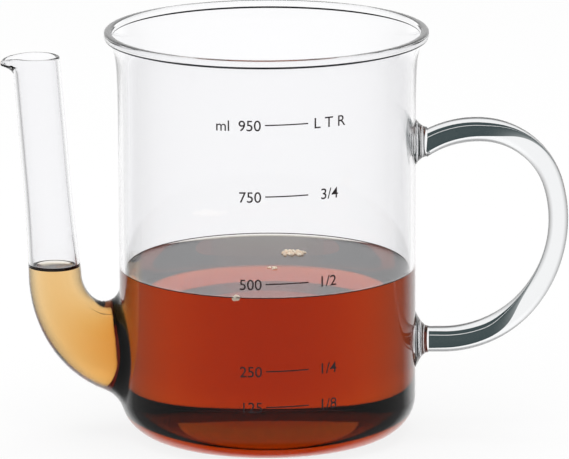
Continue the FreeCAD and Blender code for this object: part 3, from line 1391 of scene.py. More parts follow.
@dataclass(frozen=True)
class HandleSizes:
    """The rod's path and thickness, and the feet that hold it.

    The path is arcs that all turn one way, each a radius and a sweep. thins and
    thickens are the share of the rod's length at which each starts and the
    share over which it runs. A foot is a length and a reach up and down the wall.
    """

    start_height: float = 101.3 * MM
    start_angle: float = math.radians(37.6)
    shoulder: tuple[float, float] = (35.6 * MM, math.radians(41.7))
    knuckle: tuple[float, float] = (27.4 * MM, math.radians(68.9))
    back: tuple[float, float] = (45.6 * MM, math.radians(56.5))
    end_height: float = 32.6 * MM
    radius_top: float = 4.4 * MM
    radius_middle: float = 3.5 * MM
    radius_bottom: float = 4.6 * MM
    thins: tuple[float, float] = (0.1, 0.38)
    thickens: tuple[float, float] = (0.52, 0.38)
    foot_margin: float = 0.15 * MM
    foot_width_share: float = 0.92
    upper_foot_rise: float = 3.0 * MM
    upper_foot: tuple[float, float] = (4.0 * MM, 8.2 * MM)
    lower_foot: tuple[float, float] = (4.6 * MM, 10.2 * MM)


@dataclass
class Handle:
    """The glass rod and the two feet that join it to the wall."""

    beaker: BeakerSizes
    sizes: HandleSizes = field(default_factory=HandleSizes)
    around: int = 72
    stations: int = 241
    foot_rings: int = 17
    seat_rings: int = 7

    def arcs(self) -> list[tuple[float, float]]:
        """The arcs from the upper foot down, the last worked out to end level.

        Returns:
            Radius and sweep of each.
        """
        arcs = [self.sizes.shoulder, self.sizes.knuckle, self.sizes.back]
        end, heading = self.walk(arcs, math.inf, run_on=False)
        sweep = math.pi + heading
        radius = (end[1] - self.sizes.end_height) / (1 - math.cos(sweep))
        return arcs + [(radius, sweep)]

    def walk(
        self, arcs: list[tuple[float, float]], distance: float, run_on: bool = True
    ) -> tuple[np.ndarray, float]:
        """Place and heading after a distance along the arcs.

        Args:
            arcs: radius and sweep of each arc.
            distance: how far to go.
            run_on: whether the rest of the distance goes straight on from the last arc.

        Returns:
            The place as x and z, and the heading.
        """
        place = np.array([self.beaker.radius, self.sizes.start_height])
        heading = self.sizes.start_angle
        for radius, sweep in arcs:
            turn = min(sweep, distance / radius)
            after = heading - turn
            chord = [math.sin(heading) - math.sin(after), math.cos(after) - math.cos(heading)]
            place = place + np.array(chord) * radius
            distance -= turn * radius
            heading = after
        if run_on:
            place = place + np.array([math.cos(heading), math.sin(heading)]) * distance
        return place, heading

    def rod_radius(self, share: float) -> float:
        """The rod's radius along its length.

        Args:
            share: a share of the length, from the upper foot.

        Returns:
            The radius there.
        """
        sizes = self.sizes
        if share < 0.5:
            (start, run), first, last = sizes.thins, sizes.radius_top, sizes.radius_middle
        else:
            (start, run), first, last = sizes.thickens, sizes.radius_middle, sizes.radius_bottom
        return first + (last - first) * blend((share - start) / run)

    def length(self) -> float:
        """Measures the rod, with the straight end that runs to the wall.

        Returns:
            Its length.
        """
        arcs = self.arcs()
        curved = sum(radius * sweep for radius, sweep in arcs)
        heel, _ = self.walk(arcs, curved)
        return curved + heel[0] - self.beaker.radius

    def rod(self) -> bpy.types.Object:
        """Makes the rod, cut upright where the feet begin.

        Returns:
            The piece.
        """
        arcs = self.arcs()
        length = self.length()
        middle = (self.sizes.start_height + self.sizes.end_height) / 2
        turn = np.arange(self.around) * 2 * math.pi / self.around
        points, normals, cut = [], [], []
        for share in np.linspace(0, 1, self.stations):
            place, heading = self.walk(arcs, length * share)
            along = np.array([math.cos(heading), 0.0, math.sin(heading)])
            up = np.array([-math.sin(heading), 0.0, math.cos(heading)])
            spoke = np.cos(turn)[:, None] * up + np.sin(turn)[:, None] * np.array([0.0, 1.0, 0.0])
            ring = np.array([place[0], 0.0, place[1]]) + spoke * self.rod_radius(share)
            foot = self.sizes.upper_foot if place[1] > middle else self.sizes.lower_foot
            short = self.beaker.radius + foot[0] - LAP - ring[:, 0]
            cut.append(short.min() >= 0)
            if short.max() > 0:
                ring = ring + (np.maximum(short, 0.0) / along[0])[:, None] * along
            points.append(ring)
            normals.append(spoke)
        ends, half = np.nonzero(cut)[0], self.stations // 2
        first, last = ends[ends < half].max(), ends[ends > half].min()
        points, normals = points[first : last + 1], normals[first : last + 1]
        skin = Skin()
        skin.sleeve(points, normals)
        wallward = np.array([-1.0, 0.0, 0.0])
        skin.lid(points[0], points[0].mean(axis=0), wallward)
        skin.lid(points[-1], points[-1].mean(axis=0), wallward)
        return skin.build("handle_rod")

    def foot(self, name: str, upper: bool) -> bpy.types.Object:
        """Makes a foot that flares from the rod's end to the wall and is hollowed to sit on it.

        Args:
            name: the piece's name.
            upper: whether it is the upper foot.

        Returns:
            The piece.
        """
        sizes = self.sizes
        length, reach = sizes.upper_foot if upper else sizes.lower_foot
        radius = sizes.radius_top if upper else sizes.radius_bottom
        slope = self.walk(self.arcs(), length)[1] if upper else 0.0
        seat = sizes.start_height + sizes.upper_foot_rise if upper else sizes.end_height
        end_high = radius / math.cos(slope) + sizes.foot_margin
        end_wide = radius + sizes.foot_margin
        turn = np.arange(self.around) * 2 * math.pi / self.around

        def ring(share: np.ndarray) -> np.ndarray:
            """The flare's ring of points.

            Args:
                share: for each point, how far it lies from the wall to the rod.

            Returns:
                The points.
            """
            part = (1 - np.clip(share, 0, 1)) ** 2
            high = end_high + (reach - end_high) * part
            wide = end_wide + (reach * sizes.foot_width_share - end_wide) * part
            x = self.beaker.radius + length * share
            return np.stack([x, wide * np.sin(turn), seat + high * np.cos(turn)], axis=-1)

        def wall_x(across: np.ndarray) -> np.ndarray:
            """How far out the seat lies, a hair inside the wall, at distances from the middle."""
            return np.sqrt((self.beaker.radius - LAP) ** 2 - across**2)

        def in_wall(share: np.ndarray) -> np.ndarray:
            """Whether the flare's points at these shares are in the wall."""
            point = ring(share)
            return point[:, 0] <= wall_x(point[:, 1])

        behind, rod_end = np.full_like(turn, -0.5), np.ones_like(turn)
        _, seat_share = bisect(behind, rod_end, in_wall, rounds=40)
        shares = [1 + (seat_share - 1) * s for s in np.linspace(0, 1, self.foot_rings)]
        points = np.stack([ring(share) for share in shares])
        skin = Skin()
        middle = np.array([self.beaker.radius + length / 2, 0.0, seat])
        along = np.gradient(points, axis=0)
        round_it = np.roll(points, -1, axis=1) - np.roll(points, 1, axis=1)
        normals = unit(np.cross(round_it, along))
        outward = points - middle
        outward[..., 0] = 0
        normals *= np.sign(np.sum(normals * outward, axis=-1, keepdims=True))
        skin.sleeve(points, normals)
        skin.lid(points[0], points[0].mean(axis=0), np.array([1.0, 0.0, 0.0]))
        seat_rings = []
        for share in np.linspace(1, 0, self.seat_rings):
            spot = np.array([0.0, 0.0, seat]) + (points[-1] - [0.0, 0.0, seat]) * [1, share, share]
            spot[:, 0] = wall_x(spot[:, 1])
            seat_rings.append(spot)
        wallward = -np.stack(seat_rings) * [1, 1, 0]
        skin.sleeve(seat_rings, unit(wallward))
        return skin.build(name)


# --------------------------------------------------------------------------
# Filling
# --------------------------------------------------------------------------


@dataclass(frozen=True)
class Cluster:
    """Bubbles that float together: where, how far apart, how many and how big, in mm.

    A bubble's size is scaled by middle_share, less up to edge_loss at the
    cluster's edge. afloat is how high its centre can stand over the gravy, in
    shares of its radius.
    """

    name: str
    middle: tuple[float, float]
    reach: tuple[float, float]
    count: int
    radii: tuple[float, float]
    middle_share: float = 1.15
    edge_loss: float = 0.5
    afloat: tuple[float, float] = (0.1, 0.45)


@dataclass
class Filling:
    """Gravy that fills the beaker and the spout to one level, and the froth on it.

    At the glass it climbs a little, and a dark line of painted shade runs along
    its edge, whose middle stands off the glass by film_middle times its
    thickness. In the spout the line is tall in front and thinner behind.
    """

    jug: GlassJug
    climb: float = 0.6 * MM
    climb_width: float = 1.2 * MM
    tube_climb_width: float = 1.6 * MM
    # Thickness of the line of painted shade at the gravy's edge.
    film: float = 0.06 * MM
    film_middle: float = 1.5
    line_height: float = 0.35 * MM
    tube_line_height: float = 1.0 * MM
    tube_line_back: float = 0.35
    line_steps: int = 180
    line_sides: int = 8
    tube_rings: tuple[int, int] = (14, 6)
    tube_top_rings: int = 16
    froth_seed: int = 7
    clusters: tuple[Cluster, ...] = (
        Cluster("froth_cluster", (9.1, 20.7), (4.6, 4.2), 46, (0.35, 0.95)),
        Cluster("froth_speck", (1.7, -3.0), (1.9, 1.6), 12, (0.3, 0.6)),
        Cluster("froth_bubble", (-10.2, -48.6), (1.1, 0.5), 4, (1.0, 1.5)),
    )

    @property
    def level(self) -> float:
        """Height of the gravy's surface away from the glass."""
        return self.jug.sizes.waterline - self.climb

    @property
    def tube_climb(self) -> float:
        """How far the gravy climbs up the spout's bore."""
        return self.jug.path().waterline - self.level

    def top(self, radius: float, count: int) -> Outline:
        """The liquid's surface from the glass, where it climbs, to the axis.

        Args:
            radius: the surface's radius.
            count: how many steps the line has.

        Returns:
            The line.
        """
        share = np.linspace(0, 1, count + 1)
        reach = radius * (1 - share**2)
        lift = self.climb * np.exp(-(radius - reach) / self.climb_width)
        slope = lift / self.climb_width
        normals = unit(np.stack([-slope, np.ones_like(slope)], axis=1))
        return Outline(np.stack([reach, self.level + lift], axis=1), normals)

    def liquid(self) -> bpy.types.Object:
        """Makes the gravy in the beaker, the neck and the spout. It wets the glass all round.

        Returns:
            The piece.
        """
        sizes, path, root = self.jug.sizes, self.jug.path(), self.jug.root(True)
        side = sizes.side(True)
        keep = side.points[:, 1] < self.level
        side = Outline(side.points[keep], side.normals[keep])
        radius = sizes.radius - sizes.wall
        top = (radius, self.level + self.climb)
        wet = Outline.straight(tuple(side.points[-1]), top, count=3)
        turning = Turning(Outline.joined([side, wet]).grown(LAP))
        window = self.jug.window(turning, np.arange(len(turning.outline.points)), root)
        turning.windows = [window]
        skin = Skin()
        Turning(self.top(radius + LAP, count=40)).lay(skin)
        middles = (turning.outline.points[1:, 1] + turning.outline.points[:-1, 1]) / 2
        floor = sizes.base + LAP
        turning.patches = [Patch.FLOOR if z < floor else Patch.WETTED for z in middles]
        turning.lay(skin)
        last, turn = self.jug.open_root(skin, turning, window, root, LAP)
        end = path.place_at(self.level + self.tube_climb)
        bend, straight = self.tube_rings
        places = [np.linspace(self.jug.seal, 1, bend), np.linspace(1, end, straight)[1:]]
        places = np.concatenate(places)
        tube = np.stack([path.surface(np.full_like(turn, p), turn, True) for p in places])
        normals = np.stack([path.normals(np.full_like(turn, p), turn, True) for p in places])
        tube = tube + normals * LAP
        rings = skin.add(tube[1:], normals[1:])
        skin.strip(last, rings[0])
        skin.strips(rings)
        skin.patch = Patch.CLEAR
        self.close_top(skin, tube[-1])
        return skin.build("gravy")

    def close_top(self, skin: Skin, rim: np.ndarray) -> None:
        """Adds the level surface in the tube, with its climb at the glass.

        Args:
            skin: the skin to add to.
            rim: the ring of points at which the surface meets the glass.
        """
        centre = rim.mean(axis=0)
        spokes = rim - centre
        radius = float(np.linalg.norm(spokes[0]))
        points, normals = [], []
        for share in 1 - np.linspace(0, 1, self.tube_top_rings) ** 2:
            lift = self.tube_climb * math.exp(-radius * (1 - share) / self.tube_climb_width)
            ring = centre + spokes * share
            ring[:, 2] = self.level + lift
            points.append(ring)
            slope = lift / self.tube_climb_width
            normals.append(unit(np.array([0, 0, 1.0]) - unit(spokes) * slope))
        skin.sleeve(points, normals)

    def meniscus_shade_line(self, name: str, wall: np.ndarray, height: np.ndarray) -> bpy.types.Object:
        """Makes a fine dark line of painted shade on the glass just over the level.

        Args:
            name: the piece's name.
            wall: a ring of points on the glass, at the line's middle.
            height: how tall it is at each point.

        Returns:
            The piece.
        """
        centre = wall.mean(axis=0)
        spokes = unit(wall - centre)
        points, normals = [], []
        for turn in np.linspace(0, 2 * math.pi, self.line_sides + 1):
            inward = self.film * (self.film_middle + math.cos(turn))
            lift = height[:, None] / 2 * math.sin(turn) * np.array([0, 0, 1])
            points.append(wall - spokes * inward + lift)
            normals.append(unit(-spokes * math.cos(turn) + [0, 0, math.sin(turn)]))
        skin = Skin()
        skin.sleeve(points, normals)
        return skin.build(name)

    def meniscus_shade_lines(self) -> list[bpy.types.Object]:
        """Makes the lines of painted shade in the beaker and in the spout.

        Returns:
            The two pieces.
        """
        turn = np.linspace(0, 2 * math.pi, self.line_steps + 1)[:-1]
        radius = self.jug.sizes.radius - self.jug.sizes.wall
        height = self.level + self.climb
        ring = np.stack([radius * np.cos(turn), radius * np.sin(turn), 0 * turn + height], axis=1)
        path = self.jug.path()
        place = np.full_like(turn, path.place_at(self.level + self.tube_climb / 2))
        tube = path.surface(place, turn, True)
        # The spout's line of painted shade is tallest on the -Y side, which faces the camera.
        front = (1 - np.sin(np.arctan2(tube[:, 1], tube[:, 0] - tube[:, 0].mean()))) / 2
        tube_height = self.tube_line_height * blend(self.tube_line_back + front)
        return [
            self.meniscus_shade_line("meniscus_shade_line", ring, np.full_like(turn, self.line_height)),
            self.meniscus_shade_line("spout_meniscus_shade_line", tube, tube_height),
        ]

    def froth(self, material: bpy.types.Material) -> list[bpy.types.Object]:
        """Makes the clusters of bubbles that float on the gravy.

        Args:
            material: the froth's finish.

        Returns:
            One piece for each cluster.
        """
        rng = random.Random(self.froth_seed)
        made = []
        for cluster in self.clusters:
            mesh = bpy.data.meshes.new(cluster.name)
            shape = bmesh.new()
            for _ in range(cluster.count):
                angle = rng.uniform(0, 2 * math.pi)
                out = math.sqrt(rng.random())
                share = cluster.middle_share - cluster.edge_loss * out
                radius = rng.uniform(*cluster.radii) * MM * share
                x = (cluster.middle[0] + cluster.reach[0] * out * math.cos(angle)) * MM
                y = (cluster.middle[1] + cluster.reach[1] * out * math.sin(angle)) * MM
                spot = Vector((x, y, self.level + radius * rng.uniform(*cluster.afloat)))
                place = Matrix.Translation(spot)
                bmesh.ops.create_icosphere(shape, subdivisions=3, radius=radius, matrix=place)
            shape.to_mesh(mesh)
            shape.free()
            mesh.shade_smooth()
            mesh.materials.append(material)
            made.append(link_piece(cluster.name, mesh))
        return made


# --------------------------------------------------------------------------
# Printed scale
# --------------------------------------------------------------------------


@dataclass(frozen=True)
class Mark:
    """One line of the scale: its height and the words on either side of it."""

    height: float
    millilitres: str
    litres: str


@dataclass
class Scale:
    """The printed volume scale on the front of the beaker.

    Ways along the wall are counted from straight in front, towards the
    handle. digit_share is a digit's height as a share of the typeface's size,
    and facet the width of the flat strips that print is bent in.
    """

    beaker: BeakerSizes
    material: bpy.types.Material
    marks: tuple[Mark, ...] = (
        Mark(121.5 * MM, "950", "L T R"),
        Mark(96.3 * MM, "750", "3/4"),
        Mark(65.3 * MM, "500", "1/2"),
        Mark(34.2 * MM, "250", "1/4"),
        Mark(21.4 * MM, "125", "1/8"),
    )
    tick_length: float = 15.0 * MM
    tick_line: float = 0.45 * MM
    digit_height: float = 3.9 * MM
    weight: float = 0.025 * MM
    numbers_end: float = -1.9 * MM
    tick_start: float = -0.5 * MM
    litres_start: float = 19.2 * MM
    litres_word_lead: float = 2.4 * MM
    unit_end: float = -12.9 * MM
    tilt: float = math.radians(1.0)
    ink: float = 0.06 * MM
    digit_share: float = 0.73
    facet: float = 0.7 * MM

    def wrap(self, flat: np.ndarray, height: float) -> np.ndarray:
        """Bends flat print round the wall.

        Args:
            flat: points as way along the wall and height over the mark.
            height: the mark's height above the table.

        Returns:
            Points on the wall.
        """
        middle = self.tick_start + self.tick_length / 2
        z = height + flat[:, 1] + (flat[:, 0] - middle) * math.tan(self.tilt)
        side = self.beaker.side(False)
        upper = side.points[:, 1] > self.beaker.corner
        reach = np.interp(z, side.points[upper, 1], side.points[upper, 0]) + self.ink
        angle = -math.pi / 2 + flat[:, 0] / self.beaker.radius
        outward = np.stack([np.cos(angle), np.sin(angle), np.zeros_like(angle)], axis=1)
        return outward * reach[:, None] + np.array([0, 0, 1]) * z[:, None]

    def printed(self, name: str, mesh: bpy.types.Mesh, height: float) -> bpy.types.Object:
        """Turns a flat mesh into print on the wall.

        Args:
            name: the piece's name.
            mesh: the flat mesh, in metres, which is cut fine enough to bend.
            height: the mark's height above the table.

        Returns:
            The printed piece.
        """
        shape = bmesh.new()
        shape.from_mesh(mesh)
        low = min(v.co.x for v in shape.verts)
        high = max(v.co.x for v in shape.verts)
        for index in range(1, int((high - low) / self.facet) + 1):
            bmesh.ops.bisect_plane(
                shape,
                geom=shape.verts[:] + shape.edges[:] + shape.faces[:],
                plane_co=(low + index * self.facet, 0, 0),
                plane_no=(1, 0, 0),
            )
        flat = np.array([[v.co.x, v.co.y] for v in shape.verts])
        for vertex, point in zip(shape.verts, self.wrap(flat, height)):
            vertex.co = Vector(point)
        shape.normal_update()
        for face in shape.faces:
            middle = face.calc_center_median()
            if face.normal.dot(Vector((middle.x, middle.y, 0))) < 0:
                face.normal_flip()
        result = bpy.data.meshes.new(name)
        shape.to_mesh(result)
        shape.free()
        result.materials.append(self.material)
        return link_piece(name, result)

    def lettering(
        self, name: str, text: str, edge: float, height: float, right: bool
    ) -> bpy.types.Object:
        """Prints a word or number beside a mark.

        Args:
            name: the piece's name.
            text: what it says.
            edge: where it starts, or where it ends if right is set.
            height: the mark's height above the table.
            right: whether edge is the text's right end.

        Returns:
            The printed piece.
        """
        curve = bpy.data.curves.new(name, "FONT")
        curve.body = text
        curve.size = self.digit_height / self.digit_share
        curve.offset = self.weight
        holder = link_piece(name + "_flat", curve)
        bpy.context.view_layer.update()
        solved = holder.evaluated_get(bpy.context.evaluated_depsgraph_get())
        mesh = bpy.data.meshes.new_from_object(solved)
        bpy.data.objects.remove(holder)
        across = [v.co.x for v in mesh.vertices]
        shift = edge - (max(across) if right else min(across))
        for vertex in mesh.vertices:
            vertex.co.x += shift
            vertex.co.y -= self.digit_height / 2
        return self.printed(name, mesh, height)

    def tick(self, name: str, height: float) -> bpy.types.Object:
        """Prints a mark's line.

        Args:
            name: the piece's name.
            height: the mark's height above the table.

        Returns:
            The printed piece.
        """
        mesh = bpy.data.meshes.new(name)
        left, right = self.tick_start, self.tick_start + self.tick_length
        half = self.tick_line / 2
        corners = [(left, -half, 0), (right, -half, 0), (right, half, 0), (left, half, 0)]
        mesh.from_pydata(corners, [], [(0, 1, 2, 3)])
        return self.printed(name, mesh, height)

    def build(self) -> tuple[list[bpy.types.Object], list[bpy.types.Object]]:
        """Prints the whole scale.

        Returns:
            The lines, and the words and numbers.
        """
        lines, words = [], []
        top = self.marks[0]
        for mark in self.marks:
            label, height = mark.millilitres, mark.height
            litres = self.litres_start - (self.litres_word_lead if mark is top else 0.0)
            lines.append(self.tick("scale_line_" + label, height))
            for name, text, edge, right in (
                ("scale_" + label, label, self.numbers_end, True),
                ("scale_litres_" + label, mark.litres, litres, False),
            ):
                words.append(self.lettering(name, text, edge, height, right))
        words.append(self.lettering("scale_unit", "ml", self.unit_end, top.height, True))
        return lines, words


# --------------------------------------------------------------------------
# Stage
# --------------------------------------------------------------------------


@dataclass(frozen=True)
class Backdrop:
    """The bright wall behind the jug, as its glass shows it, and the dim room all round.

    levels are angles up from the level, in degrees, and the light there.
    seen_through and mirrored are angles sideways from straight behind the
    jug, between which the wall fades to the room. Matt surfaces get an even
    light, and the camera sees white.
    """

    room: float = 0.3
    room_mirrored: float = 0.25
    brightest: float = 1.15
    even: float = 0.55
    levels: tuple[tuple[float, float], ...] = (
        (-66, 0.06),
        (-52, 1.05),
        (0, 1.05),
        (10, 1.15),
        (22, 1.15),
        (32, 0.5),
        (60, 0.4),
    )
    seen_through: tuple[float, float] = (math.radians(22), math.radians(62))
    mirrored: tuple[float, float] = (math.radians(30), math.radians(50))

    def sideways(
        self,
        tree: bpy.types.NodeTree,
        azimuth: bpy.types.NodeSocket,
        edge: tuple[float, float],
        room: float,
    ) -> bpy.types.NodeSocket:
        """How much of the backdrop is left at an angle to its side.

        Args:
            tree: the node tree to add to.
            azimuth: the angle from straight behind the jug.
            edge: the angles at which the backdrop begins and ends to fade.
            room: the share that is left beyond them.

        Returns:
            The socket that gives its share.
        """
        settings = {"From Min": edge[0], "From Max": edge[1], "To Min": 1.0, "To Max": room}
        return add_node(tree, "MapRange", settings, {"Value": azimuth}).outputs[0]

    def build(self) -> None:
        """Makes the world's light."""
        world = bpy.data.worlds.new("studio")
        bpy.context.scene.world = world
        world.use_nodes = True
        tree = world.node_tree
        tree.nodes.clear()
        ray = add_node(tree, "LightPath").outputs
        direction = add_node(tree, "TexCoord").outputs["Generated"]
        parts = add_node(tree, "SeparateXYZ", {}, {"Vector": direction}).outputs
        across = add_node(tree, "Math", {"operation": "ABSOLUTE"}, {"0": parts["X"]}).outputs[0]
        links = {"0": across, "1": parts["Y"]}
        azimuth = add_node(tree, "Math", {"operation": "ARCTAN2"}, links).outputs[0]
        links = {
            "Factor": ray["Is Transmission Ray"],
            "A": self.sideways(tree, azimuth, self.mirrored, self.room_mirrored),
            "B": self.sideways(tree, azimuth, self.seen_through, self.room),
        }
        share = add_node(tree, "Mix", {}, links).outputs[0]
        span = {"From Min": -1.0, "From Max": 1.0}
        level = add_node(tree, "MapRange", span, {"Value": parts["Z"]})
        ramp = add_node(tree, "ValToRGB", {}, {"Fac": level.outputs[0]})
        stops = ramp.color_ramp.elements
        for _ in self.levels[2:]:
            stops.new(0.5)
        for stop, (angle, light) in zip(stops, self.levels):
            stop.position = (math.sin(math.radians(angle)) + 1) / 2
            stop.color = (light / self.brightest,) * 3 + (1.0,)
        settings = {"operation": "MULTIPLY", "1": self.brightest}
        strength = add_node(tree, "Math", settings, {"0": share}).outputs[0]
        links = {"Color": ramp.outputs["Color"], "Strength": strength}
        light = add_node(tree, "Background", {}, links).outputs[0]
        for kind, value in (("Is Diffuse Ray", self.even), ("Is Camera Ray", 1.0)):
            plain = add_node(tree, "Background", {"Color": (1, 1, 1, 1), "Strength": value})
            links = {"0": ray[kind], "1": light, "2": plain.outputs[0]}
            light = add_node(tree, "MixShader", {}, links).outputs[0]
        add_node(tree, "OutputWorld", {}, {"Surface": light})


@dataclass(frozen=True)
class Flags:
    """Dark cards close behind the handle, which only its glass shows.

    They give the rod the dark core between bright edges that defines it
    against white. Each follows the rod, and past turns_off, a share of its
    run, it drifts off the rod while its trailing edge fades. strips are the
    edges of the two cards at each foot, as shares of the half width, with a
    fine bright line between them. behind and drop are how far the cards lie
    behind the rod and below it.
    """

    colour: str = "3E4C4E"
    faded: str = "EEF1F1"
    turns_off: float = 0.35
    narrowing: float = 0.6
    stations: int = 40
    behind: float = 14 * MM
    drop: float = 3.2 * MM
    half_width: float = 4.7 * MM
    strips: tuple[tuple[float, float], ...] = ((-1.0, -0.42), (-0.36, 1.0))
    run: tuple[float, float] = (4.5 * MM, 64.0 * MM)
    drift: float = 14.5 * MM

    def strip(
        self, handle: Handle, side: int, edges: tuple[float, float]
    ) -> tuple[list[tuple[float, float, float]], list[float]]:
        """Lays out one card.

        Args:
            handle: the handle that it follows.
            side: 1 from the upper foot down, -1 from the lower foot up.
            edges: its inner and outer edge, as shares of the half width.

        Returns:
            Its corners in pairs along the rod, and how faded each one is.
        """
        arcs, length = handle.arcs(), handle.length()
        corners, fades = [], []
        for share in np.linspace(0, 1, self.stations):
            way = self.run[0] + (self.run[1] - self.run[0]) * share
            place, heading = handle.walk(arcs, way if side > 0 else length - way)
            outward = np.array([-math.sin(heading), math.cos(heading)])
            end = float(blend((share - self.turns_off) / (1 - self.turns_off)))
            middle = place - [0, self.drop] - outward * side * self.drift * end
            wide = self.half_width * (1 - self.narrowing * share)
            for edge in edges:
                x, z = middle + outward * side * wide * edge
                corners.append((x, self.behind, z))
                fades.append(end * max(edge, 0.0))
        return corners, fades

    def build(self, handle: Handle) -> list[bpy.types.Object]:
        """Places the cards.

        Args:
            handle: the handle that they follow.

        Returns:
            The cards.
        """
        material = bpy.data.materials.new("dark_card")
        material.use_nodes = True
        tree = material.node_tree
        tree.nodes.clear()
        fade = add_node(tree, "Attribute", {"attribute_name": "fade"})
        ramp = add_node(tree, "ValToRGB", {}, {"Fac": fade.outputs["Fac"]})
        ramp.color_ramp.elements[0].color = srgb(self.colour)
        ramp.color_ramp.elements[1].color = srgb(self.faded)
        dark = add_node(tree, "Emission", {"Strength": 1.0}, {"Color": ramp.outputs["Color"]})
        add_node(tree, "OutputMaterial", {}, {"Surface": dark.outputs[0]})
        cards = []
        for name, side in (("upper", 1), ("lower", -1)):
            for number, strip in enumerate(self.strips):
                mesh = bpy.data.meshes.new(f"{name}_flag_{number}")
                corners, fades = self.strip(handle, side, strip)
                faces = [(i, i + 1, i + 3, i + 2) for i in range(0, len(corners) - 2, 2)]
                mesh.from_pydata(corners, [], faces)
                mesh.attributes.new("fade", "FLOAT", "POINT").data.foreach_set("value", fades)
                mesh.materials.append(material)
                card = link_piece(mesh.name, mesh)
                card.visible_camera = card.visible_diffuse = card.visible_glossy = False
                card.visible_shadow = False
                cards.append(card)
        return cards


@dataclass(frozen=True)
class Lamp:
    """A square soft lamp: where it hangs, its width and its watts."""

    name: str
    place: tuple[float, float, float]
    width: float
    power: float


@dataclass(frozen=True)
class Studio:
    """A white table on which the jug stands, its lamps and the camera.

    shadow_share is how much of the jug's shadow the table keeps.
    """

    camera_distance: float = 2.124
    camera_elevation: float = math.radians(12.9)
    camera_roll: float = math.radians(0.22)
    target: tuple[float, float, float] = (6.09 * MM, 0.0, 72.64 * MM)
    lens: float = 379.6
    sensor: float = 36.0
    sight: tuple[float, float] = (0.01, 200.0)
    floor_radius: float = 40.0
    floor_sides: int = 64
    floor_gap: float = 0.05 * MM
    floor_colour: str = "FAFAFA"
    shadow_share: float = 0.15
    lamps: tuple[Lamp, ...] = (
        Lamp("overhead_lamp", (0.0, 0.1, 1.5), 1.4, 14.0),
        Lamp("front_lamp", (-1.3, -1.2, 1.0), 0.9, 5.0),
    )
    lamp_aim: tuple[float, float, float] = (0.0, 0.0, 0.07)

    def camera(self) -> None:
        """Places the camera."""
        data = bpy.data.cameras.new("camera")
        data.lens = self.lens
        data.sensor_width = self.sensor
        data.clip_start, data.clip_end = self.sight
        rise = self.camera_elevation
        back = Vector((0, -math.cos(rise), math.sin(rise)))
        right = Vector((1, 0, 0))
        up = back.cross(right)
        roll = self.camera_roll
        across = right * math.cos(roll) - up * math.sin(roll)
        upward = right * math.sin(roll) + up * math.cos(roll)
        place = Vector(self.target) + back * self.camera_distance
        camera = link_piece("camera", data)
        axes = Matrix((across, upward, back)).transposed().to_4x4()
        camera.matrix_world = Matrix.Translation(place) @ axes
        bpy.context.scene.camera = camera

    def floor(self) -> bpy.types.Object:
        """Makes the white table.

        Returns:
            The table's top.
        """
        mesh = bpy.data.meshes.new("floor")
        shape = bmesh.new()
        bmesh.ops.create_circle(
            shape, cap_ends=True, segments=self.floor_sides, radius=self.floor_radius
        )
        shape.to_mesh(mesh)
        shape.free()
        material = bpy.data.materials.new("white_table")
        material.use_nodes = True
        tree = material.node_tree
        tree.nodes.clear()
        ray = add_node(tree, "LightPath").outputs["Is Camera Ray"]
        surface = add_node(tree, "BsdfDiffuse", {"Color": srgb(self.floor_colour)}).outputs[0]
        settings = {"operation": "MULTIPLY", "1": 1 - self.shadow_share}
        share = add_node(tree, "Math", settings, {"0": ray}).outputs[0]
        white = add_node(tree, "Emission", {"Color": (1, 1, 1, 1), "Strength": 1.0})
        links = {"0": share, "1": surface, "2": white.outputs[0]}
        surface = add_node(tree, "MixShader", {}, links).outputs[0]
        add_node(tree, "OutputMaterial", {}, {"Surface": surface})
        mesh.materials.append(material)
        floor = link_piece("floor", mesh)
        floor.location.z = -self.floor_gap
        floor.visible_glossy = floor.visible_transmission = False
        return floor

    def hang_lamps(self) -> None:
        """Hangs the lamps, which light matt surfaces but don't show in glass."""
        for lamp in self.lamps:
            data = bpy.data.lights.new(lamp.name, "AREA")
            data.shape = "SQUARE"
            data.size = lamp.width
            data.energy = lamp.power
            hung = link_piece(lamp.name, data)
            hung.location = lamp.place
            hung.visible_glossy = hung.visible_transmission = False
            aim = Vector(self.lamp_aim) - Vector(lamp.place)
            hung.rotation_euler = aim.to_track_quat("-Z", "Y").to_euler()


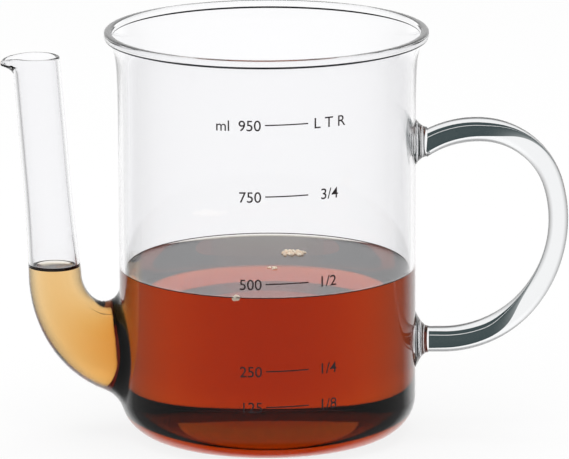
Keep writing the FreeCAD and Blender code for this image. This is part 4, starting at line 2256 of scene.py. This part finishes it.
# --------------------------------------------------------------------------
# The whole
# --------------------------------------------------------------------------


def settle(piece: bpy.types.Object, nodes: tuple[str, ...] = ()) -> None:
    """Makes a piece ride on the body, hides the CAD nodes that it stands for, and logs its faces.

    Args:
        piece: the finished piece.
        nodes: the CAD nodes that it replaces.
    """
    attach(piece, BODY)
    if nodes:
        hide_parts(*nodes)
    log.info("%s: %d faces", piece.name, len(piece.data.polygons))


def dress(piece: bpy.types.Object, material: bpy.types.Material) -> bpy.types.Object:
    """Gives a piece its material, and hands it back."""
    piece.data.materials.append(material)
    return piece


def main() -> None:
    """Builds the jug, its filling and print, and the stage."""
    logging.basicConfig(level=logging.INFO)
    bpy.context.scene.view_settings.view_transform = "Standard"
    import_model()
    glass = Borosilicate().build()
    gravy = Gravy().build()
    enamel = Enamel().build()

    finishes = (
        glass,
        GroundGlass().build(),
        # Painted shade where a look skims the standing ring.
        StandingRingShade().build(),
        WettedGlass().build(),
        # Painted shade in the fold under the bead.
        BeadFoldShade().build(),
    )
    jug = GlassJug(finishes)
    settle(jug.body(), ("jug_body",))
    settle(jug.spout(), ("spout_tube",))
    handle = Handle(jug.sizes)
    rod_glass = Borosilicate("borosilicate_rod", "F3F4F5").build()
    settle(dress(handle.rod(), rod_glass), ("handle",))
    settle(dress(handle.foot("upper_foot", True), glass), ("upper_handle_foot",))
    settle(dress(handle.foot("lower_foot", False), glass), ("lower_handle_foot",))

    filling = Filling(jug)
    settle(dress(filling.liquid(), gravy), ("gravy_in_jug", "gravy_in_spout"))
    # The gravy's edge gets a dark line of painted shade.
    film = MeniscusShade().build()
    for piece in filling.meniscus_shade_lines():
        settle(dress(piece, film))
    for piece in filling.froth(Froth().build()):
        settle(piece)

    lines, words = Scale(jug.sizes, enamel).build()
    for piece in lines:
        settle(piece, ("scale_lines",))
    for piece in words:
        settle(piece)

    studio = Studio()
    studio.camera()
    studio.floor()
    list(Flags().build(handle))
    studio.hang_lamps()
    Backdrop().build()


if __name__ == "__main__":
    main()
